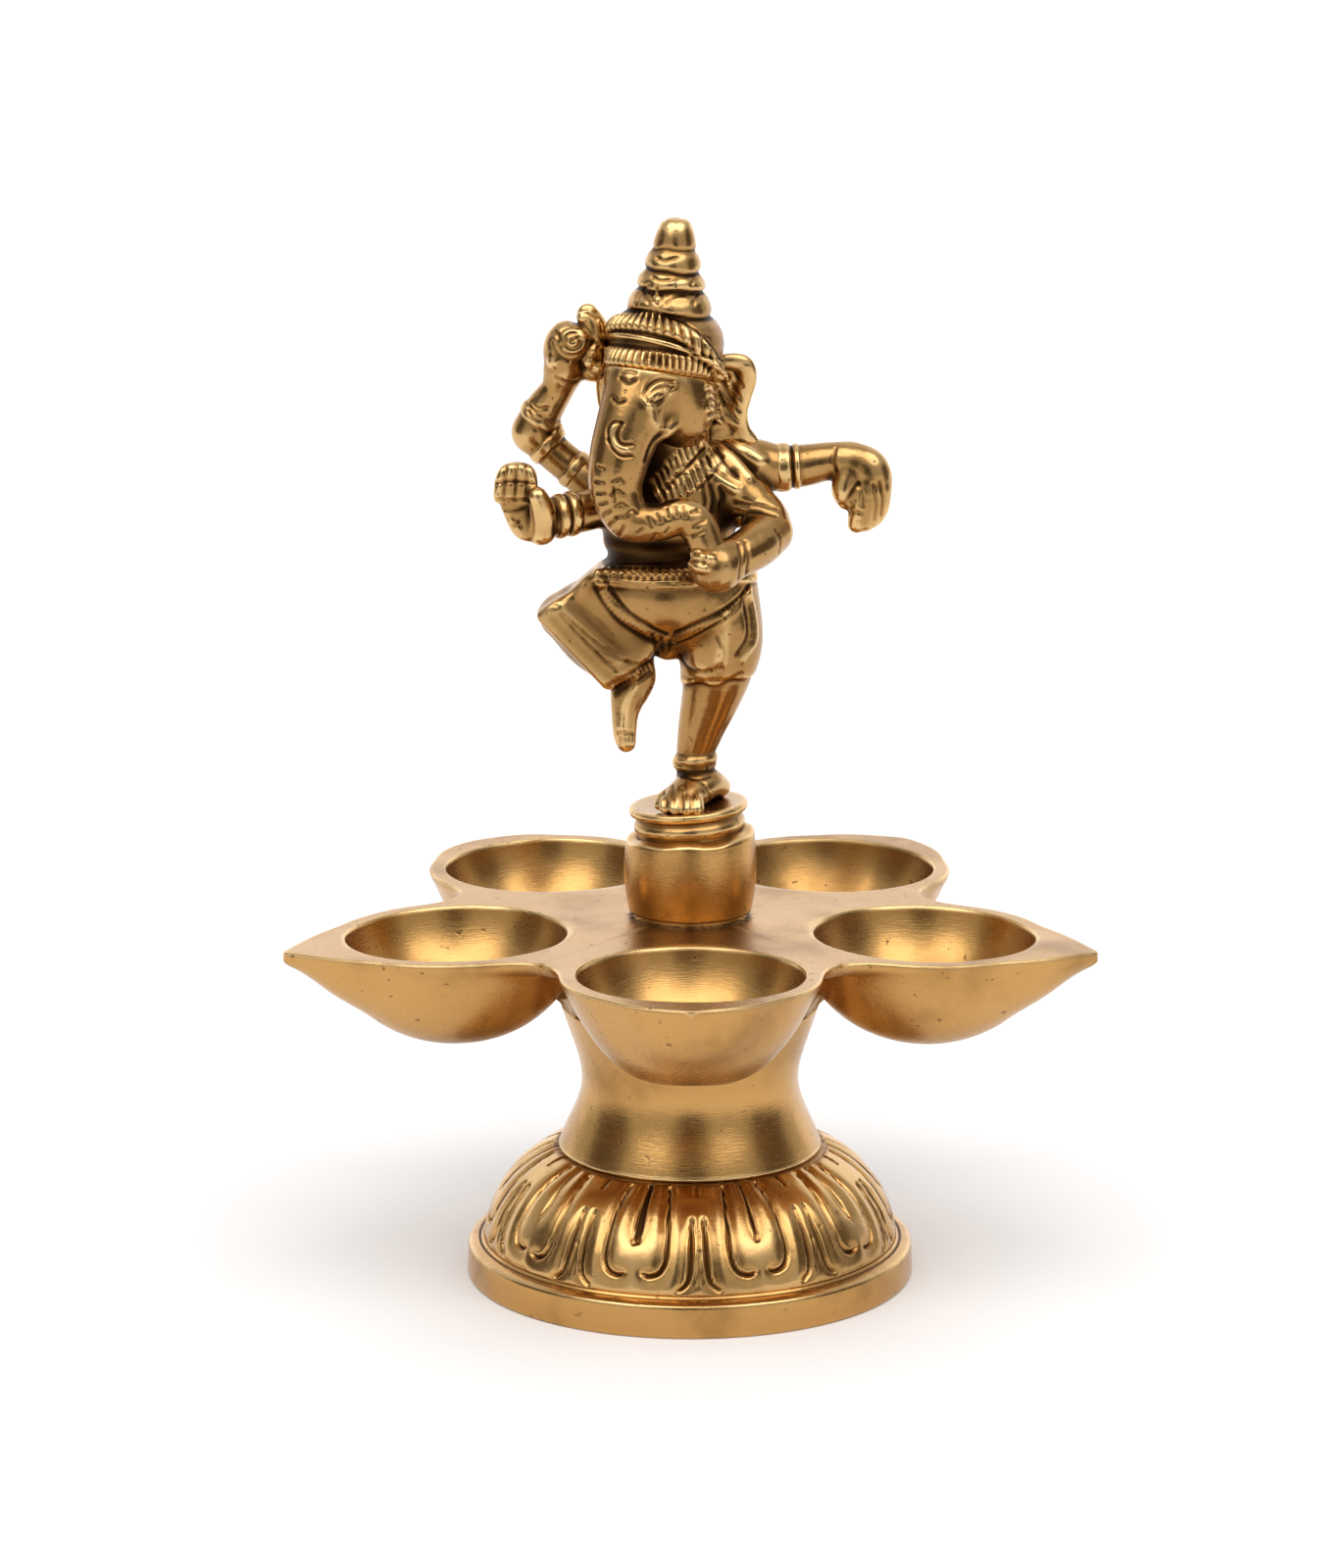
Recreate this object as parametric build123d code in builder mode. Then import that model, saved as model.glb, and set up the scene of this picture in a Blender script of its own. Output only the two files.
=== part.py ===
from build123d import *
import os
from math import cos, radians, sin, sqrt

# Five-wick brass lamp: a hollow lotus foot, a waisted column, one tray of five pointed oil bowls, and a
# dancing elephant-headed figure on a small drum that screws onto the tie rod holding the stack together.
# Millimetres, +Z up. The origin is the middle of the ring that the lamp stands on, the figure faces -Y.

# Lotus foot
plinth_radius = 48.5
plinth_height = 7.2
plinth_draft = 0.4
ledge_width = 2.4
ledge_rise = 1.2
dome_groove_depth = 0.8
dome_shoulder_drop = 7.4
dome_shoulder_inset = 5.2
dome_top_radius = 29.4
foot_height = 28.0
foot_wall = 4.5
crown_thickness = 6.0
petal_count = 10
groove_radius = 0.9
groove_margin = 2.2
spear_half_angle = 3.2
petal_half_angle = 8.0

# Column
column_foot_radius = 28.4
column_waist_radius = 23.5
column_top_radius = 27.8
column_waist_height = 15.5
column_height = 32.0
column_core_radius = 19.0
register_height = 3.0
register_clearance = 0.1

# Tray of bowls
bowl_count = 5
bowl_outer_radius = 27.2
bowl_gap = 7.1
rim_width = 3.5
bowl_depth_share = 0.844
bowl_floor = 4.6
beak_overhang = 10.5
beak_tip_radius = 1.0
beak_fullness = 1.14
lobe_inset = 0.8
plate_thickness = 4.6
plate_inset = 9.8
notch_fillet = 3.0
collar_height = 20.0
collar_flare = 8.0
collar_wall = 11.8
collar_start_slope = (0.35, 1)
collar_end_slope = (1, 0.6)

# Tie rod, nut and washers
rod_radius = 4.0
rod_hole_clearance = 0.3
thread_clearance = 0.05
thread_engagement = 9.5
rod_tail = 2.0
nut_across_flats = 13.0
nut_height = 6.5
clamp_washer_radius = 12.0
clamp_washer_thickness = 1.8
seat_washer_radius = 12.2
seat_washer_thickness = 0.8

# Drum under the figure
drum_foot_radius = 12.9
drum_belly_radius = 14.2
drum_shoulder_radius = 13.6
drum_height = 16.7
drum_belly_share = 0.62
drum_stock = 2.0
drum_tilt = 4.0
drum_bore_relief = 1.5
peg_radius = 6.0
peg_length = 3.0
peg_clearance = 0.1

# Figure, whose stations below are counted in units of its height above the drum
figure_height = 133.0
figure_unit_count = 133
neck_radius = 11.2
neck_bead_radius = 11.9
neck_height = 5.0
neck_bead_height = 2.5
base_plate_radius = 12.5
base_plate_thickness = 1.9
armlet_width = 2.4
armlet_rise = 0.5
elbow_radius = 4.9

# Heights of the stack
dome_base_z = plinth_height + ledge_rise
column_top_z = foot_height + column_height
tray_top = column_top_z + collar_height
drum_base_z = tray_top + seat_washer_thickness
figure_seat = drum_base_z + drum_height
crown_underside = foot_height - crown_thickness
rod_low_z = crown_underside - clamp_washer_thickness - nut_height - rod_tail
rod_top_z = drum_base_z + thread_engagement
rod_hole_radius = rod_radius + rod_hole_clearance
register_radius = column_core_radius - register_clearance
dome_base_radius = plinth_radius - plinth_draft - ledge_width - dome_groove_depth
bowl_circle_radius = (bowl_outer_radius + bowl_gap / 2) / sin(radians(180 / bowl_count))
bowl_mouth_radius = bowl_outer_radius - rim_width
bowl_depth = bowl_mouth_radius * bowl_depth_share
bowl_outer_depth = bowl_depth + bowl_floor
beak_reach = bowl_outer_radius + beak_overhang
plate_radius = bowl_circle_radius - plate_inset
collar_core_radius = column_top_radius - collar_wall
figure_scale = figure_height / figure_unit_count
seat_plane = Plane(
    (0, 0, figure_seat),
    x_dir=(cos(radians(drum_tilt)), 0, sin(radians(drum_tilt))),
    z_dir=(-sin(radians(drum_tilt)), 0, cos(radians(drum_tilt))),
)


def spot(x, y, height):
    """A point of the figure, from its place above the drum in units of the figure."""
    return Vector(x * figure_scale, y * figure_scale, figure_seat + height * figure_scale)


def limb(stations, start_along=None, end_along=None, depth_hint=(0, 1, 0)):
    """A tapered limb through oval stations of (x, y, height, half width, half depth)."""
    centres = [spot(*station[:3]) for station in stations]
    last = len(stations) - 1
    with BuildPart() as form:
        for i, station in enumerate(stations):
            along = centres[min(i + 1, last)] - centres[max(i - 1, 0)]
            if i == 0 and start_along:
                along = Vector(*start_along)
            if i == last and end_along:
                along = Vector(*end_along)
            along = along.normalized()
            depth = Vector(*depth_hint)
            depth = (depth - along * depth.dot(along)).normalized()
            with BuildSketch(Plane(centres[i], x_dir=depth, z_dir=along)):
                Ellipse(station[4] * figure_scale, station[3] * figure_scale)
        loft()
    return form.part


def armlet(shoulder):
    """The raised band that starts a separately cast arm, square to its brazed joint."""
    place, along, radius = shoulder
    with BuildPart() as band:
        with BuildSketch(Plane(spot(*place), z_dir=along)):
            Circle((radius + armlet_rise) * figure_scale)
        extrude(amount=armlet_width * figure_scale)
    return band.part


# Each arm joins the body on one plane: its middle, the way the arm leaves, and the radius there
rear_left_shoulder = ((18.5, 4.0, 78.8), (0.995, 0.05, 0.05), 4.7)
rear_right_shoulder = ((-23.5, 4.5, 77.5), (-0.78, 0.10, 0.62), 4.0)
front_right_shoulder = ((-20.0, -5.0, 71.8), (-0.90, -0.42, -0.08), 4.2)
front_left_shoulder = ((14.6, -3.0, 70.6), (0.62, -0.42, -0.66), 4.7)


def shoulder_station(shoulder):
    """The round station of a limb on an arm's joint plane."""
    place, _, radius = shoulder
    return (*place, radius, radius)


# Lotus foot: a hollow shell with a moulded plinth, a dome of carved petals and a crown for the rod
dome_base = (dome_base_radius, dome_base_z)
dome_shoulder = (dome_base_radius - dome_shoulder_inset, foot_height - dome_shoulder_drop)
dome_top = (dome_top_radius, foot_height)
with BuildPart() as lotus_foot:
    with BuildSketch(Plane.XZ):
        with BuildLine():
            plinth_side = Line((plinth_radius, 0), (plinth_radius - plinth_draft, plinth_height))
            ledge = Line(plinth_side @ 1, (dome_base_radius + dome_groove_depth, dome_base_z))
            Line(ledge @ 1, dome_base)
            ThreePointArc(dome_base, dome_shoulder, dome_top)
            top = Line(dome_top, (register_radius, foot_height))
            register = Line(top @ 1, (register_radius, foot_height + register_height))
            Polyline(
                register @ 1,
                (rod_hole_radius, foot_height + register_height),
                (rod_hole_radius, crown_underside),
                (dome_top_radius - foot_wall, crown_underside),
            )
            inner_base = (dome_base_radius - foot_wall, plinth_height)
            ThreePointArc(
                (dome_top_radius - foot_wall, crown_underside),
                (dome_shoulder[0] - foot_wall, dome_shoulder[1] - foot_wall),
                inner_base,
            )
            Polyline(inner_base, (plinth_radius - foot_wall, 0), (plinth_radius, 0))
        make_face()
    revolve(axis=Axis.Z)

with BuildPart() as petal_groove:
    with BuildLine(Plane.XZ):
        dome_curve = ThreePointArc(dome_base, dome_shoulder, dome_top)
    groove_start = groove_margin / dome_curve.length
    with BuildLine() as groove_path:
        groove_line = dome_curve.trim(groove_start, 1 - groove_start)
        add(groove_line)
    with BuildSketch(Plane(groove_line @ 0, z_dir=groove_line % 0)):
        Circle(groove_radius)
    sweep(path=groove_path.line)

unit_angle = 360 / petal_count
groove_angles = (-spear_half_angle, spear_half_angle, petal_half_angle, unit_angle / 2, -petal_half_angle)
with lotus_foot:
    for groove_angle in groove_angles:
        with PolarLocations(0, petal_count, start_angle=groove_angle - 90):
            add(petal_groove.part, mode=Mode.SUBTRACT)
lotus_foot.part.label = "lotus_foot"

# Column: a cored, waisted tube that sits over the foot's register and under the tray's
with BuildPart() as column:
    with BuildSketch(Plane.XZ):
        with BuildLine():
            column_side = Spline(
                (column_foot_radius, foot_height),
                (column_waist_radius, foot_height + column_waist_height),
                (column_top_radius, column_top_z),
            )
            Polyline(
                column_side @ 1,
                (column_core_radius, column_top_z),
                (column_core_radius, foot_height),
                column_side @ 0,
            )
        make_face()
    revolve(axis=Axis.Z)
column.part.label = "column"

# One bowl, towards +X: half an ellipsoid on the inner side, and a beak that runs out to the tip
beak_touch = bowl_outer_radius**2 / beak_reach
touch_share = sqrt(1 - (beak_touch / bowl_outer_radius) ** 2)
quarter_share = sqrt(1 - (beak_touch / bowl_outer_radius / 2) ** 2)
middle_share = touch_share / 2 * beak_fullness
cavity_radius = (bowl_mouth_radius**2 + bowl_depth**2) / (2 * bowl_depth)


def beak_section(distance, half_width, half_depth):
    """A lower half oval across the bowl, at a distance from its middle."""
    section_plane = Plane((bowl_circle_radius + distance, 0, tray_top), x_dir=(0, 1, 0), z_dir=(1, 0, 0))
    with BuildSketch(section_plane) as half:
        with BuildLine():
            EllipticalCenterArc((0, 0), half_width, half_depth, start_angle=180, arc_size=180)
            Line((-half_width, 0), (half_width, 0))
        make_face()
    return half.sketch.face()


beak_stations = (
    (0, 1),
    (beak_touch / 2, quarter_share),
    (beak_touch, touch_share),
    ((beak_touch + beak_reach) / 2, middle_share),
)
beak_sections = [
    beak_section(distance, bowl_outer_radius * share, bowl_outer_depth * share)
    for distance, share in beak_stations
]
beak_sections.append(beak_section(beak_reach, beak_tip_radius, beak_tip_radius))
bowl_axis = Axis((bowl_circle_radius, 0, tray_top), (0, 0, 1))
inner_side = Plane((bowl_circle_radius, 0, tray_top), x_dir=(0, 1, 0), z_dir=(1, 0, 0))
with BuildPart() as bowl_form:
    with BuildSketch(inner_side):
        with BuildLine():
            EllipticalCenterArc((0, 0), bowl_outer_radius, bowl_outer_depth, start_angle=270, arc_size=90)
            Polyline((0, -bowl_outer_depth), (0, 0), (bowl_outer_radius, 0))
        make_face()
    revolve(axis=bowl_axis, revolution_arc=180)
    loft(sections=beak_sections)

# Tray: star plate, collar, five bowls and the hollows for oil and wicks
with BuildPart() as bowl_tray:
    with BuildSketch(Plane.XY.offset(tray_top - plate_thickness)):
        Circle(plate_radius)
        with PolarLocations(bowl_circle_radius, bowl_count, start_angle=-90):
            Circle(bowl_outer_radius - lobe_inset)
        fillet(vertices(), notch_fillet)
    extrude(amount=plate_thickness)
    with BuildSketch(Plane.XZ):
        with BuildLine():
            collar_side = Spline(
                (column_top_radius, column_top_z),
                (column_top_radius + collar_flare, tray_top - plate_thickness / 2),
                tangents=(collar_start_slope, collar_end_slope),
            )
            Polyline(
                collar_side @ 1,
                (collar_core_radius, tray_top - plate_thickness / 2),
                (collar_core_radius, column_top_z - register_height),
                (register_radius, column_top_z - register_height),
                (register_radius, column_top_z),
                collar_side @ 0,
            )
        make_face()
    revolve(axis=Axis.Z)
    with PolarLocations(0, bowl_count, start_angle=-90):
        add(bowl_form.part)
    with BuildSketch(Plane.XY.offset(tray_top)):
        Circle(rod_hole_radius)
    extrude(amount=-collar_height, mode=Mode.SUBTRACT)
    with PolarLocations(bowl_circle_radius, bowl_count, start_angle=-90):
        with Locations((0, 0, tray_top - bowl_depth + cavity_radius)):
            Sphere(cavity_radius, mode=Mode.SUBTRACT)
bowl_tray.part.label = "bowl_tray"

# Tie rod with its washer and nut inside the foot, and the thin washer that the drum seats on
with BuildPart() as tie_rod:
    with BuildSketch(Plane.XY.offset(rod_low_z)):
        Circle(rod_radius)
    extrude(amount=rod_top_z - rod_low_z)
tie_rod.part.label = "tie_rod"

with BuildPart() as clamp_washer:
    with BuildSketch(Plane.XY.offset(crown_underside - clamp_washer_thickness)):
        Circle(clamp_washer_radius)
        Circle(rod_hole_radius, mode=Mode.SUBTRACT)
    extrude(amount=clamp_washer_thickness)
clamp_washer.part.label = "clamp_washer"

with BuildPart() as clamp_nut:
    with BuildSketch(Plane.XY.offset(crown_underside - clamp_washer_thickness - nut_height)):
        RegularPolygon(nut_across_flats / 2, 6, major_radius=False)
        Circle(rod_radius + thread_clearance, mode=Mode.SUBTRACT)
    extrude(amount=nut_height)
clamp_nut.part.label = "clamp_nut"

with BuildPart() as seat_washer:
    with BuildSketch(Plane.XY.offset(tray_top)):
        Circle(seat_washer_radius)
        Circle(rod_hole_radius, mode=Mode.SUBTRACT)
    extrude(amount=seat_washer_thickness)
seat_washer.part.label = "seat_washer"

# Drum: barrel sides, a threaded hole from below and a top cut at the slant of the brazed figure
drum_reach = drum_height + drum_belly_radius * sin(radians(drum_tilt)) + drum_stock
with BuildPart() as drum:
    with BuildSketch(Plane.XZ):
        with BuildLine():
            barrel = ThreePointArc(
                (drum_foot_radius, drum_base_z),
                (drum_belly_radius, drum_base_z + drum_height * drum_belly_share),
                (drum_shoulder_radius, drum_base_z + drum_reach),
            )
            Polyline(barrel @ 1, (0, drum_base_z + drum_reach), (0, drum_base_z), barrel @ 0)
        make_face()
    revolve(axis=Axis.Z)
    split(bisect_by=seat_plane, keep=Keep.BOTTOM)
    with BuildSketch(Plane.XY.offset(drum_base_z)):
        Circle(rod_radius + thread_clearance)
    extrude(amount=thread_engagement + drum_bore_relief, mode=Mode.SUBTRACT)
    with BuildSketch(seat_plane):
        Circle(peg_radius + peg_clearance)
    extrude(amount=-peg_length - peg_clearance, mode=Mode.SUBTRACT)
drum.part.label = "drum"

# Masses of the figure, each a limb or a turned form
shin = limb([
    (1.0, 0.5, 10.0, 3.8, 4.4),
    (1.0, 0.4, 17.0, 3.9, 4.2),
    (2.4, 0.0, 26.0, 5.1, 5.4),
    (4.4, -1.5, 36.0, 6.7, 7.0),
])
thigh = limb([
    (4.9, -2.0, 34.4, 7.4, 7.6),
    (6.2, -1.6, 43.0, 9.2, 9.4),
    (3.4, 0.0, 54.0, 10.2, 10.2),
])
foot = limb(
    [
        (5.6, 3.4, 10.0, 2.8, 3.0),
        (1.9, -1.4, 10.6, 3.9, 4.2),
        (-1.2, -6.0, 9.0, 4.6, 2.6),
        (-3.0, -9.2, 8.1, 3.8, 1.7),
    ],
    depth_hint=(0, 0, 1),
)
raised_shin = limb([
    (-25.9, -6.0, 54.6, 7.2, 6.6),
    (-20.0, -6.4, 45.8, 6.6, 6.2),
    (-14.1, -6.6, 37.4, 4.9, 4.6),
])
raised_thigh = limb([
    (-7.0, 1.5, 51.0, 9.4, 9.6),
    (-16.0, -2.0, 52.6, 8.0, 8.2),
    (-24.6, -5.2, 52.6, 5.6, 6.2),
])
raised_foot = limb([
    (-12.6, -6.7, 38.8, 3.8, 4.2),
    (-13.6, -7.5, 32.6, 3.6, 3.9),
    (-14.6, -8.6, 26.4, 2.6, 2.7),
    (-14.1, -9.4, 21.6, 2.0, 1.9),
    (-14.0, -9.6, 19.9, 1.2, 1.1),
])
torso = limb([
    (-3.6, 0.0, 41.0, 6.4, 7.0),
    (-4.2, -0.5, 47.0, 13.4, 11.2),
    (-5.4, -2.2, 54.0, 15.8, 13.8),
    (-5.2, -2.2, 59.5, 14.8, 12.8),
    (-4.8, -1.0, 67.0, 14.2, 11.2),
    (-4.2, 0.0, 75.0, 15.0, 9.6),
    (-3.8, 0.4, 81.0, 12.4, 8.2),
    (-4.4, -1.0, 87.0, 8.2, 7.8),
])
head = limb([
    (-4.8, -2.4, 84.0, 6.6, 6.8),
    (-5.8, -3.8, 89.0, 9.8, 10.4),
    (-6.3, -4.2, 97.0, 11.0, 11.6),
    (-5.7, -3.4, 104.0, 10.2, 10.4),
    (-5.2, -3.0, 109.0, 8.0, 8.2),
])
trunk = limb([
    (-8.8, -7.4, 96.0, 5.4, 5.0),
    (-11.6, -12.8, 92.6, 6.7, 5.8),
    (-14.5, -16.6, 84.6, 6.1, 5.6),
    (-15.4, -17.5, 77.3, 5.2, 5.0),
    (-12.5, -18.0, 71.5, 4.2, 4.2),
    (-6.7, -18.2, 70.9, 3.5, 3.5),
    (-1.2, -18.0, 72.2, 3.2, 3.2),
    (1.9, -17.6, 70.2, 3.1, 3.1),
    (2.9, -17.6, 67.9, 2.9, 2.9),
])
belt = limb([(-5.3, -2.2, 56.6, 16.1, 14.1), (-5.2, -2.1, 60.4, 15.4, 13.4)])
anklet = limb([(1.0, 0.4, 14.4, 4.7, 5.0), (1.0, 0.4, 17.8, 4.8, 5.0)])
leg_cuff = limb([(-16.6, -6.5, 41.0, 6.4, 6.1), (-15.3, -6.6, 39.1, 6.0, 5.7)])
rear_left_stub = limb(
    [
        (5.0, 2.0, 77.6, 6.6, 6.4),
        (12.0, 3.4, 79.6, 5.8, 5.6),
        shoulder_station(rear_left_shoulder),
    ],
    end_along=rear_left_shoulder[1],
)
rear_right_stub = limb(
    [
        (-11.0, 2.2, 74.6, 6.2, 6.0),
        (-18.4, 3.8, 74.4, 4.8, 4.8),
        shoulder_station(rear_right_shoulder),
    ],
    end_along=rear_right_shoulder[1],
)
front_right_stub = limb(
    [
        (-9.0, -1.6, 72.6, 6.2, 6.0),
        (-15.4, -3.4, 72.2, 4.9, 4.9),
        shoulder_station(front_right_shoulder),
    ],
    end_along=front_right_shoulder[1],
)
front_left_stub = limb(
    [
        (4.0, -0.2, 76.0, 6.4, 6.2),
        (10.6, -1.0, 74.4, 5.8, 5.6),
        shoulder_station(front_left_shoulder),
    ],
    end_along=front_left_shoulder[1],
)

# Tall crown: a banded cap, three swelling rings and a knob, on an axis that leans a little
crown_plane = Plane(spot(-5.4, -3.0, 102.5), x_dir=(1, 0, 0), z_dir=(0.083, 0, 1))
crown_outline = [
    (11.6, 0.0),
    ((12.2, 4.0), (10.9, 8.2)),
    ((10.2, 10.0), (8.2, 11.3)),
    ((8.9, 13.4), (7.4, 15.4)),
    ((7.6, 17.1), (6.1, 18.8)),
    ((6.3, 20.4), (4.5, 22.2)),
    ((4.7, 24.6), (3.2, 28.4)),
]
knob_radius, knob_shoulder = crown_outline[-1][1]
crown_tip = 30.5
knob_rise = crown_tip - knob_shoulder
knob_cap_radius = (knob_radius**2 + knob_rise**2) / (2 * knob_rise)
with BuildPart() as crown:
    with BuildSketch(Plane(crown_plane.origin, x_dir=crown_plane.x_dir, z_dir=-crown_plane.y_dir)):
        with BuildLine():
            corner = Vector(*crown_outline[0]) * figure_scale
            Line((0, 0), corner)
            for bulge, ring_end in crown_outline[1:]:
                ThreePointArc(corner, Vector(*bulge) * figure_scale, Vector(*ring_end) * figure_scale)
                corner = Vector(*ring_end) * figure_scale
            tip = (0, crown_tip * figure_scale)
            RadiusArc(corner, tip, -knob_cap_radius * figure_scale)
            Line(tip, (0, 0))
        make_face()
    revolve(axis=Axis(crown_plane.origin, crown_plane.z_dir))

# Ears: fan-shaped plates, the far one swept back behind the head
near_ear_outline = [(2.0, 99.0), (8.6, 102.1), (12.6, 100.6), (13.1, 96.2), (12.3, 91.0), (12.7, 86.0)]
near_ear_root = [(8.4, 87.2), (2.0, 88.0)]
near_ear_front, near_ear_thickness = 0.4, 3.2
far_ear_outline = [(-11.0, 100.0), (-16.0, 101.6), (-18.2, 98.0), (-17.4, 91.6), (-16.6, 87.4)]
far_ear_root = [(-13.0, 88.4), (-8.0, 90.0)]
far_ear_front, far_ear_thickness = 3.0, 2.8


def ear(outline, root, front, thickness):
    """A fan-shaped ear: a rounded outer edge and a straight root inside the head."""
    with BuildPart() as plate:
        with BuildSketch(Plane(spot(0, front, 0), x_dir=(1, 0, 0), z_dir=(0, 1, 0))):
            with BuildLine():
                edge = Spline(*[(x * figure_scale, -h * figure_scale) for x, h in outline])
                Polyline(edge @ 1, *[(x * figure_scale, -h * figure_scale) for x, h in root], edge @ 0)
            make_face()
        extrude(amount=thickness * figure_scale)
    return plate.part


near_ear = ear(near_ear_outline, near_ear_root, near_ear_front, near_ear_thickness)
far_ear = ear(far_ear_outline, far_ear_root, far_ear_front, far_ear_thickness)

# Figure casting: base plate and peg, legs, body, head, trunk, ears and crown in one piece
with BuildPart() as figure_casting:
    with BuildSketch(Plane(seat_plane.origin, x_dir=seat_plane.x_dir, z_dir=-seat_plane.y_dir)):
        with BuildLine():
            plate_low = neck_height
            plate_high = neck_height + base_plate_thickness
            bead_low = (neck_height - neck_bead_height) / 2
            bead_high = bead_low + neck_bead_height
            peg_line = Polyline((0, plate_high), (0, -peg_length), (peg_radius, -peg_length), (peg_radius, 0))
            neck_side = Polyline(peg_line @ 1, (neck_radius, 0), (neck_radius, bead_low))
            ThreePointArc(neck_side @ 1, (neck_bead_radius, neck_height / 2), (neck_radius, bead_high))
            Line((neck_radius, bead_high), (neck_radius, plate_low))
            ThreePointArc(
                (neck_radius, plate_low),
                (base_plate_radius, (plate_low + plate_high) / 2),
                (neck_radius, plate_high),
            )
            Line((neck_radius, plate_high), (0, plate_high))
        make_face()
    revolve(axis=Axis(seat_plane.origin, seat_plane.z_dir))
    add([foot, shin, thigh, torso, raised_thigh, raised_shin, raised_foot, head, trunk])
    add([belt, anklet, leg_cuff])
    add([rear_left_stub, rear_right_stub, front_right_stub, front_left_stub])
    add([crown.part, near_ear, far_ear])
figure_casting.part.label = "figure_casting"

# Arms: each cast apart and brazed to the body at its armlet
with BuildPart() as rear_left_arm:
    add(armlet(rear_left_shoulder))
    add(limb(
        [
            shoulder_station(rear_left_shoulder),
            (24.0, 4.0, 79.2, 4.5, 4.4),
            (29.6, 3.3, 79.9, 3.9, 3.7),
            (32.6, 2.9, 80.4, 4.0, 3.5),
            (37.2, 2.2, 79.2, 5.2, 3.6),
            (37.8, 1.4, 73.5, 5.0, 3.4),
            (37.2, 0.5, 68.6, 3.2, 2.6),
            (36.8, 0.0, 65.8, 1.6, 1.5),
        ],
        start_along=rear_left_shoulder[1],
    ))
rear_left_arm.part.label = "rear_left_arm"

with BuildPart() as rear_right_arm:
    add(armlet(rear_right_shoulder))
    add(limb(
        [
            shoulder_station(rear_right_shoulder),
            (-29.0, 5.3, 82.0, 3.9, 3.9),
            (-34.0, 5.8, 86.4, 4.2, 4.2),
        ],
        start_along=rear_right_shoulder[1],
    ))
    with Locations(spot(-33.6, 5.7, 86.4)):
        Sphere(elbow_radius * figure_scale)
    add(limb([
        (-34.2, 5.8, 85.4, 4.2, 4.2),
        (-31.0, 4.6, 91.0, 4.0, 4.0),
        (-28.2, 3.4, 95.6, 3.4, 3.4),
        (-26.0, 2.2, 101.0, 5.0, 4.0),
        (-25.2, 1.6, 106.0, 5.4, 4.2),
        (-23.4, 1.2, 111.0, 3.4, 3.2),
        (-22.6, 1.0, 113.2, 1.6, 1.6),
    ]))
rear_right_arm.part.label = "rear_right_arm"

with BuildPart() as front_right_arm:
    add(armlet(front_right_shoulder))
    add(limb(
        [
            shoulder_station(front_right_shoulder),
            (-24.4, -6.8, 71.3, 4.1, 4.0),
            (-28.6, -8.6, 71.0, 3.8, 3.6),
            (-32.4, -10.4, 70.2, 4.8, 3.2),
            (-36.4, -11.6, 70.4, 5.4, 2.8),
            (-39.0, -12.2, 71.6, 4.0, 2.2),
        ],
        start_along=front_right_shoulder[1],
    ))
    add(limb([
        (-36.4, -11.5, 69.0, 4.2, 2.5),
        (-37.2, -12.0, 77.0, 4.3, 2.5),
        (-36.9, -12.2, 82.0, 3.4, 1.9),
    ]))
    add(limb([
        (-32.2, -11.2, 69.6, 2.0, 2.0),
        (-31.9, -12.6, 75.4, 1.4, 1.4),
    ]))
front_right_arm.part.label = "front_right_arm"

with BuildPart() as front_left_arm:
    add(armlet(front_left_shoulder))
    add(limb(
        [
            shoulder_station(front_left_shoulder),
            (17.2, -4.8, 67.6, 4.7, 4.6),
            (19.0, -6.4, 65.0, 4.6, 4.6),
        ],
        start_along=front_left_shoulder[1],
    ))
    with Locations(spot(18.6, -6.6, 64.8)):
        Sphere(elbow_radius * figure_scale)
    add(limb(
        [
            (19.6, -6.0, 65.0, 4.5, 4.5),
            (14.5, -12.0, 63.4, 4.3, 4.3),
            (11.2, -15.4, 62.4, 3.5, 3.5),
            (8.4, -17.8, 61.0, 4.6, 4.6),
            (5.6, -19.2, 60.0, 5.0, 5.0),
            (3.2, -20.2, 59.4, 3.4, 3.4),
            (2.4, -20.6, 59.2, 1.6, 1.6),
        ],
        depth_hint=(0, 0, 1),
    ))
front_left_arm.part.label = "front_left_arm"

os.makedirs("parts", exist_ok=True)
pieces = (
    lotus_foot,
    column,
    bowl_tray,
    tie_rod,
    clamp_washer,
    clamp_nut,
    seat_washer,
    drum,
    figure_casting,
    rear_left_arm,
    rear_right_arm,
    front_right_arm,
    front_left_arm,
)
for piece in pieces:
    export_step(piece.part, f"parts/{piece.part.label}.step")
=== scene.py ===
"""Five-wick brass aarti lamp with a dancing elephant-headed figure.

Lengths in this script are millimetres, turned into metres where a mesh or light is made. The turned and cast
parts are meshes laid over a profile, the figure is modelled in clay: a field of distances to its surface that
forms are pressed into and marks are cut in, before it is cast as a mesh.
"""
import logging
import math
from dataclasses import dataclass
from enum import Enum
from itertools import combinations, product

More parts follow.
